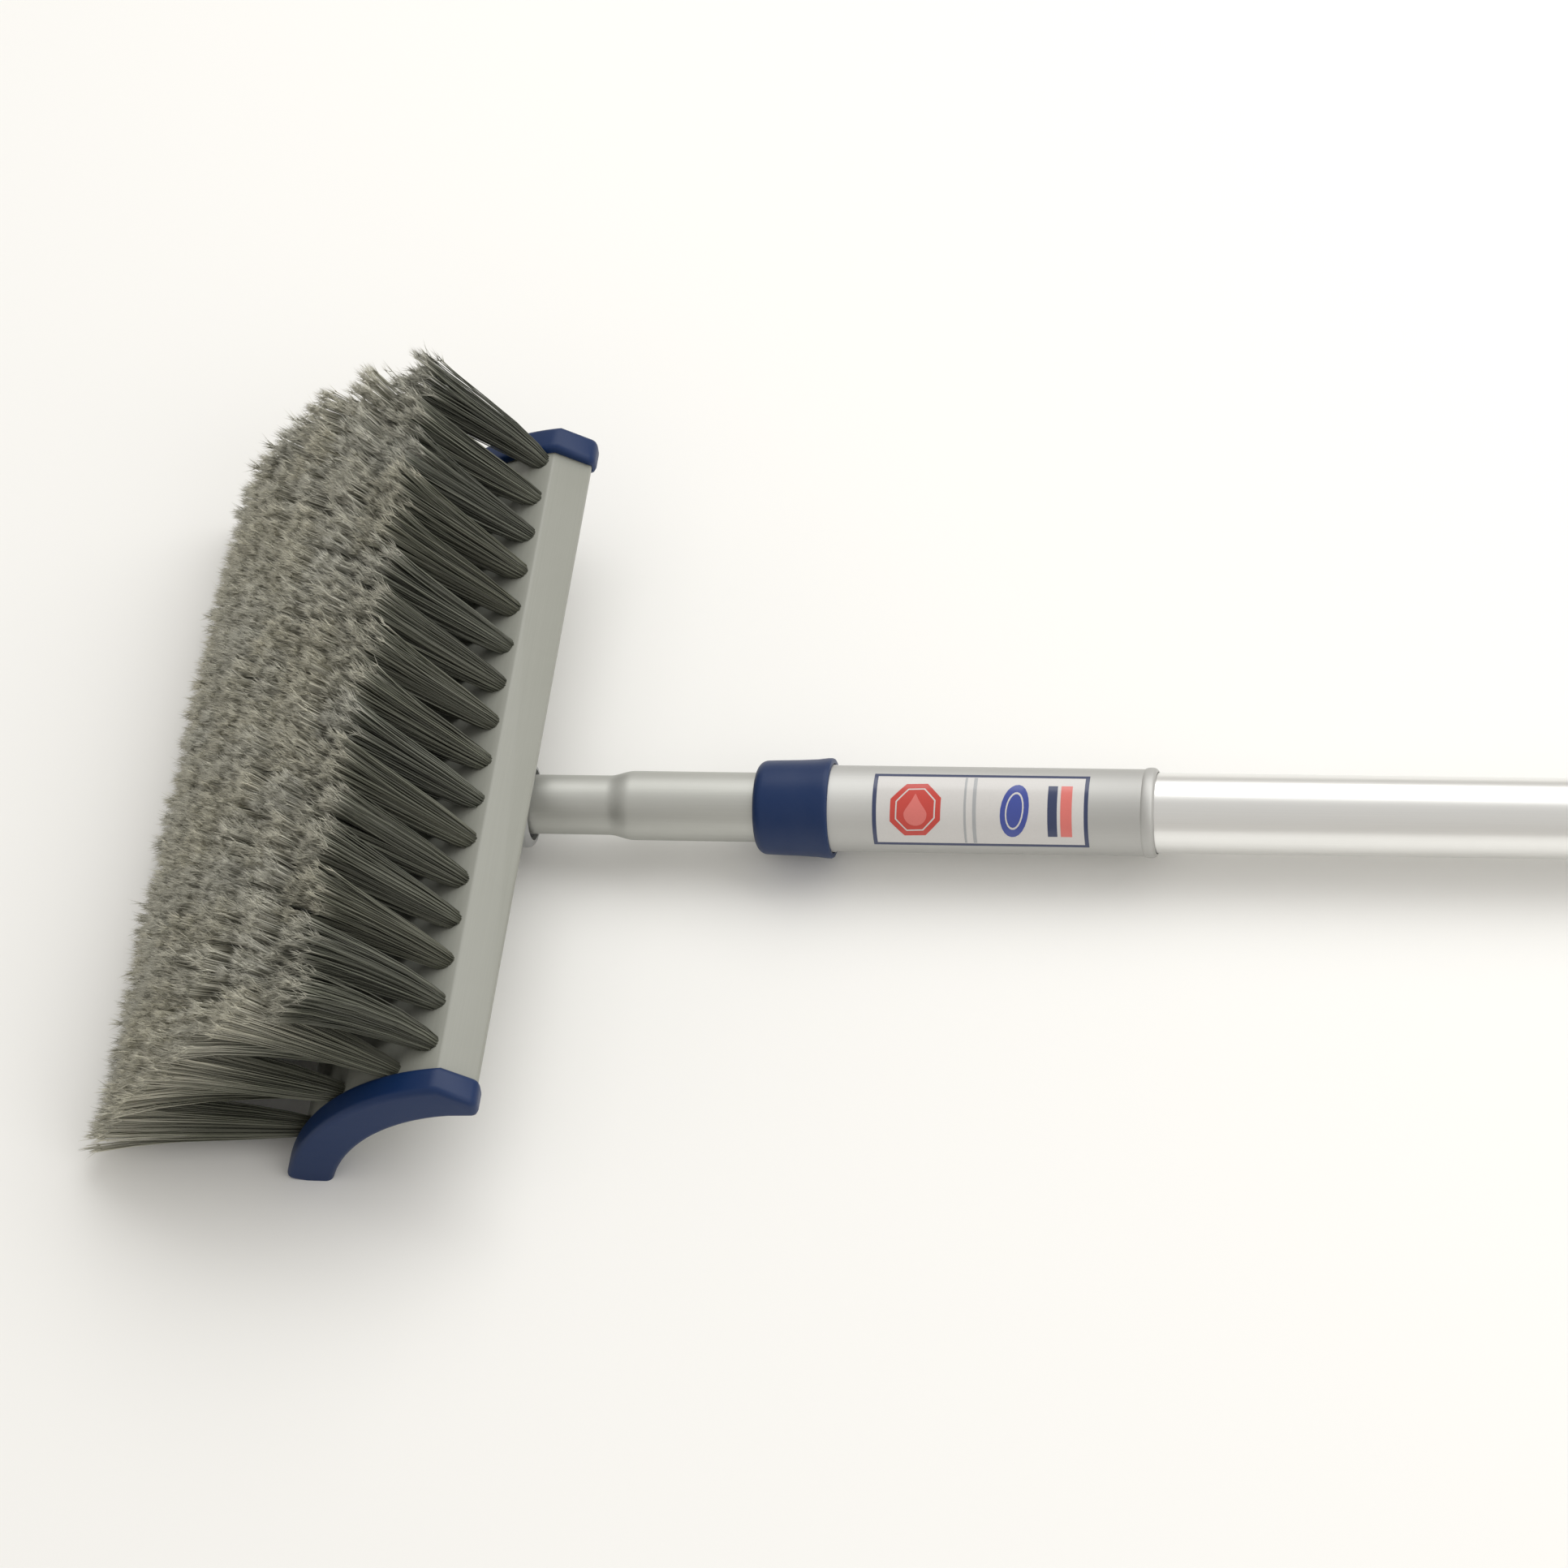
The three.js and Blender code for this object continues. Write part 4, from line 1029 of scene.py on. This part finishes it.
def label():
    """A printed label: navy rim, white field and plain generic marks, wrapped on the sleeve."""
    long, wide = LABEL_END - LABEL_START, 2 * LABEL_HALF
    middle = (LABEL_START + LABEL_END) / 2
    sign, oval = LABEL_START + STOP_SIGN_X, LABEL_START + OVAL_X
    marks = [
        patch("navy", middle, long, wide, 0),
        patch("white", middle, long - 2 * RIM, wide - 2 * RIM, 1),
        patch("red", sign, 17.2, 18.8, 2, 8),
        patch("white", sign, 13.6, 15.0, 3, 8),
        patch("red", sign, 12.6, 14.0, 4, 8),
        drop("rose", sign, 1.4, 7.4, 5),
        patch("grey", LABEL_START + RULES_X[0], 0.7, wide - 3.2, 2),
        patch("grey", LABEL_START + RULES_X[1], 1.1, wide - 3.2, 2),
        patch("blue", oval, 9.0, 17.6, 2, 24),
        patch("white", oval, 5.8, 12.2, 3, 24),
        patch("blue", oval, 4.8, 10.8, 4, 24),
        patch("navy", LABEL_START + BARS_X[0], 3.0, 16.8, 2),
        patch("rose", LABEL_START + BARS_X[1], 3.6, 16.8, 2),
    ]
    piece = joined(marks)
    piece.name = piece.data.name = "sleeve_label"
    lift = SLEEVE_RADIUS + LAYER
    for vertex in piece.data.vertices:
        radius = lift + vertex.co.z
        turn = math.radians(LABEL_TURN) + vertex.co.y / SLEEVE_RADIUS
        vertex.co = at(vertex.co.x, radius * math.cos(turn), radius * math.sin(turn))
    outward(piece)
    thickness = piece.modifiers.new("film", "SOLIDIFY")
    thickness.thickness = FILM * MM
    thickness.offset = -1.0
    apply_all(piece)
    smooth(piece, 30.0)
    ready(piece, None, "handle", None)


# ------------------------------------------------------------------ grip
GROOVE = [(-1.6, 0.0), (-0.8, 0.55), (0.0, 0.85), (0.8, 0.55), (1.6, 0.0)]


def grip():
    """A foam sleeve with round shoulders and shallow finger bands."""
    shoulder, bands, spacing, bore = 3.6, 13, 12.5, 13.0
    inner = GRIP_RADIUS - shoulder
    outside = [(GRIP_START, bore), (GRIP_START, 14.6),
               *rounded(GRIP_START + shoulder, inner, shoulder, 180.0, 6)[1:]]
    first = (GRIP_START + GRIP_END - (bands - 1) * spacing) / 2
    for i in range(bands):
        outside += [(first + i * spacing + along, GRIP_RADIUS - depth) for along, depth in GROOVE]
    outside += [*rounded(GRIP_END - shoulder, inner, shoulder, 90.0, 6), (GRIP_END, bore)]
    foam = turned("foam_sleeve", [*outside, (GRIP_START, bore)], ROUND)
    smooth(foam, 40.0)
    ready(foam, FOAM, "handle", "grip_foam", "grip")


# ------------------------------------------------------------------ valve
BODY_PROFILE = [                    # spigot with its O-ring groove, collar, barrel, bore
    (778.0, 6.0), (778.0, 11.15), (785.0, 11.15), (785.0, 9.8), (787.4, 9.8), (787.4, 11.15),
    (800.3, 11.15), (800.3, 14.5), (800.8, 15.0), (807.6, 15.0), (809.6, 14.3), (812.0, 13.2),
    (813.4, 13.0), (847.4, 13.0), (848.0, 12.4), (848.0, 9.3), (815.5, 9.3), (815.5, 6.0),
    (778.0, 6.0)]
NOTCHES, NOTCH_X, NOTCH_RADIUS = 10, 804.2, 14.9
NOTCH = (5.4, 1.7, 0.9)
STEM_BORE, STEM_SEAL_BORE, SEAL_FLOOR = 3.3, 4.9, 12.8
LEVER_REACH, LEVER_HUB, LEVER_END = 33.0, 7.0, 5.0
LEVER_RIM, LEVER_RIM_SLOPE, LEVER_PAN = 1.3, 0.5, 0.7
LEVER_SCREW_BORE, LEVER_SCREW_SEAT = 1.6, 19.8


def valve_body():
    """The moulded valve body: spigot, notched collar, barrel and the boss for the stem."""
    body = turned("valve_housing", BODY_PROFILE, ROUND)
    boss = turned("boss", [(9.8, 6.5), (14.9, 6.5), (15.5, 6.0)], 64, at(STEM_X), upright=True)
    combine(body, boss, "UNION")
    hole = turned("hole", [(6.0, STEM_BORE), (SEAL_FLOOR, STEM_BORE), (SEAL_FLOOR, STEM_SEAL_BORE),
                           (16.0, STEM_SEAL_BORE)], 48, at(STEM_X), upright=True)
    combine(body, hole, "DIFFERENCE")
    notches = []
    for i in range(NOTCHES):
        turn = math.radians(360 / NOTCHES * (i + 0.5))
        bpy.ops.object.select_all(action="DESELECT")
        bpy.ops.mesh.primitive_cube_add(
            size=1, rotation=(turn - math.pi / 2, 0, 0),
            location=at(NOTCH_X, NOTCH_RADIUS * math.cos(turn), NOTCH_RADIUS * math.sin(turn)))
        bpy.context.object.scale = Vector(NOTCH) * MM
        notches.append(new_piece("notch"))
    combine(body, joined(notches), "DIFFERENCE")
    smooth(body, 30.0)
    ready(body, NAVY, "handle", "navy_plastic", "valve_body")


def valve_lever():
    """A teardrop lever: half of a circle is drawn out and narrowed, then given thickness."""
    hub = at(STEM_X, 0, LEVER_Z)
    bpy.ops.object.select_all(action="DESELECT")
    bpy.ops.mesh.primitive_circle_add(vertices=64, radius=LEVER_HUB * MM, fill_type="NGON",
                                      location=hub)
    lever = new_piece("lever_blade")
    edit(lever)
    select(lever, "vertices", lambda p: p.x > hub.x + 0.4 * MM)
    narrower = LEVER_END / LEVER_HUB
    bpy.ops.transform.resize(value=(narrower, narrower, 1), center_override=hub)
    bpy.ops.transform.translate(value=(LEVER_REACH * MM, 0, 0))
    bpy.ops.mesh.select_all(action="SELECT")
    bpy.ops.mesh.extrude_region_move(
        TRANSFORM_OT_translate={"value": (0, 0, LEVER_THICKNESS * MM)})
    close()
    outward(lever)
    edit(lever)
    pick_mode("FACE")
    top = at(0, 0, LEVER_Z + LEVER_THICKNESS).z
    select(lever, "polygons", lambda p: p.z > top - 2 * NEARBY * MM)
    bpy.ops.mesh.inset(thickness=LEVER_RIM * MM, depth=0.0)
    bpy.ops.mesh.inset(thickness=LEVER_RIM_SLOPE * MM, depth=-LEVER_PAN * MM)
    pick_mode("VERT")
    close()
    soft_edges(lever, 0.5, segments=3, angle=40.0)
    ring = turned("hub", [(15.9, 4.9), (16.2, 5.2), (20.9, 5.2), (21.0, 4.9)], 64, at(STEM_X),
                  upright=True)
    combine(lever, ring, "UNION")
    hole = turned("hole", [(15.0, STEM_BORE), (LEVER_SCREW_SEAT, STEM_BORE),
                           (LEVER_SCREW_SEAT, LEVER_SCREW_BORE), (22.0, LEVER_SCREW_BORE)], 48,
                  at(STEM_X), upright=True)
    combine(lever, hole, "DIFFERENCE")
    smooth(lever, 35.0)
    ready(lever, GREY_MOULDING, "valve_core", "grey_plastic", "valve_lever")


def lever_screw():
    """The pan-head screw that holds the lever on its stem."""
    screw = turned("lever_pan_screw", [
        (13.0, 1.2), (21.1, 1.2), (21.1, 3.3), (21.4, 3.4), (22.0, 3.1), (22.4, 2.4), (22.6, 1.4)],
        48, at(STEM_X), upright=True)
    cross_recess(screw, at(STEM_X, 0, 22.6), (3.0, 0.7, 2.0), (math.pi / 4, 3 * math.pi / 4))
    smooth(screw, 35.0)
    ready(screw, BRIGHT_STEEL, "valve_core", "steel", "lever_screw")


THREADS, THREAD_PITCH, THREAD_START = 6, 2.2, 872.0
THREAD_ROOT, THREAD_CREST = 13.3, 12.75
WAIST_RADIUS, WAIST_MIDDLE, RIB_STEP, RIB_HEIGHT = 14.9, 861.4, 3.75, 0.6


def hose_nut():
    """The swivel nut, with a ribbed waist to turn it by and a grooved socket."""
    outside = [(COUPLER_START, 9.4), (COUPLER_START, 13.2), (849.6, 13.8), (851.6, 15.3),
               (852.6, 15.3), (853.2, WAIST_RADIUS), (869.6, WAIST_RADIUS), (870.2, 15.5),
               (872.2, 15.5), (COUPLER_END, 14.8), (COUPLER_END, 13.5)]
    thread = []
    for i in range(THREADS):
        x = THREAD_START - THREAD_PITCH * i
        thread += [(x, THREAD_ROOT), (x - 0.7, THREAD_CREST), (x - 1.3, THREAD_CREST)]
    inside = [*thread, (858.8, THREAD_ROOT), (854.0, THREAD_ROOT), (854.0, 9.4),
              (COUPLER_START, 9.4)]
    nut = turned("hose_coupler", [*outside, *inside], ROUND)
    edit(nut)
    pick_mode("FACE")
    centre = at(WAIST_MIDDLE)

    def on_rib(p):
        """True for two facets out of three round the waist."""
        across = math.hypot(p.y - centre.y, p.z - centre.z)
        turn = math.degrees(math.atan2(p.z - centre.z, p.y - centre.y)) % 360
        on_waist = abs(p.x - centre.x) < MM and across > (WAIST_RADIUS - 0.4) * MM
        return on_waist and int(turn / RIB_STEP) % 3 != 0

    select(nut, "polygons", on_rib)
    bpy.ops.mesh.inset(thickness=0.18 * MM, depth=0.0)
    bpy.ops.mesh.extrude_region_shrink_fatten(
        TRANSFORM_OT_shrink_fatten={"value": RIB_HEIGHT * MM})
    pick_mode("VERT")
    close()
    smooth(nut, 30.0)
    ready(nut, BRASS, "hose_coupling", "brass", "hose_nut")


# ------------------------------------------------------------------ carried-over inner pieces
KEPT = {
    RUBBER: ["end_gasket_near", "end_gasket_far", "socket_gasket", "neck_oring", "piston_oring_1",
             "piston_oring_2", "wiper_ring", "plug_oring", "stem_oring", "hose_washer"],
    ACETAL: ["piston", "collet", "valve_seat_front", "valve_seat_rear", "valve_tail"],
    BRIGHT_STEEL: ["neck_pin", "valve_ball"],
    BRASS: ["valve_stem"],
}


def finish_kept_nodes():
    """Gives the inner pieces that keep their own shape a finish each."""
    for material, names in KEPT.items():
        for name in names:
            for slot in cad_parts[name].material_slots:
                slot.material = material


head_block()
end_bumper("end_bumper_near", -1)
end_bumper("end_bumper_far", 1)
for row in range(ROWS):
    bristle_row(row)
pole_socket()
socket_screws()
inner_tube()
outer_tube()
lock_nut()
lock_sleeve()
label()
grip()
valve_body()
valve_lever()
lever_screw()
hose_nut()
finish_kept_nodes()
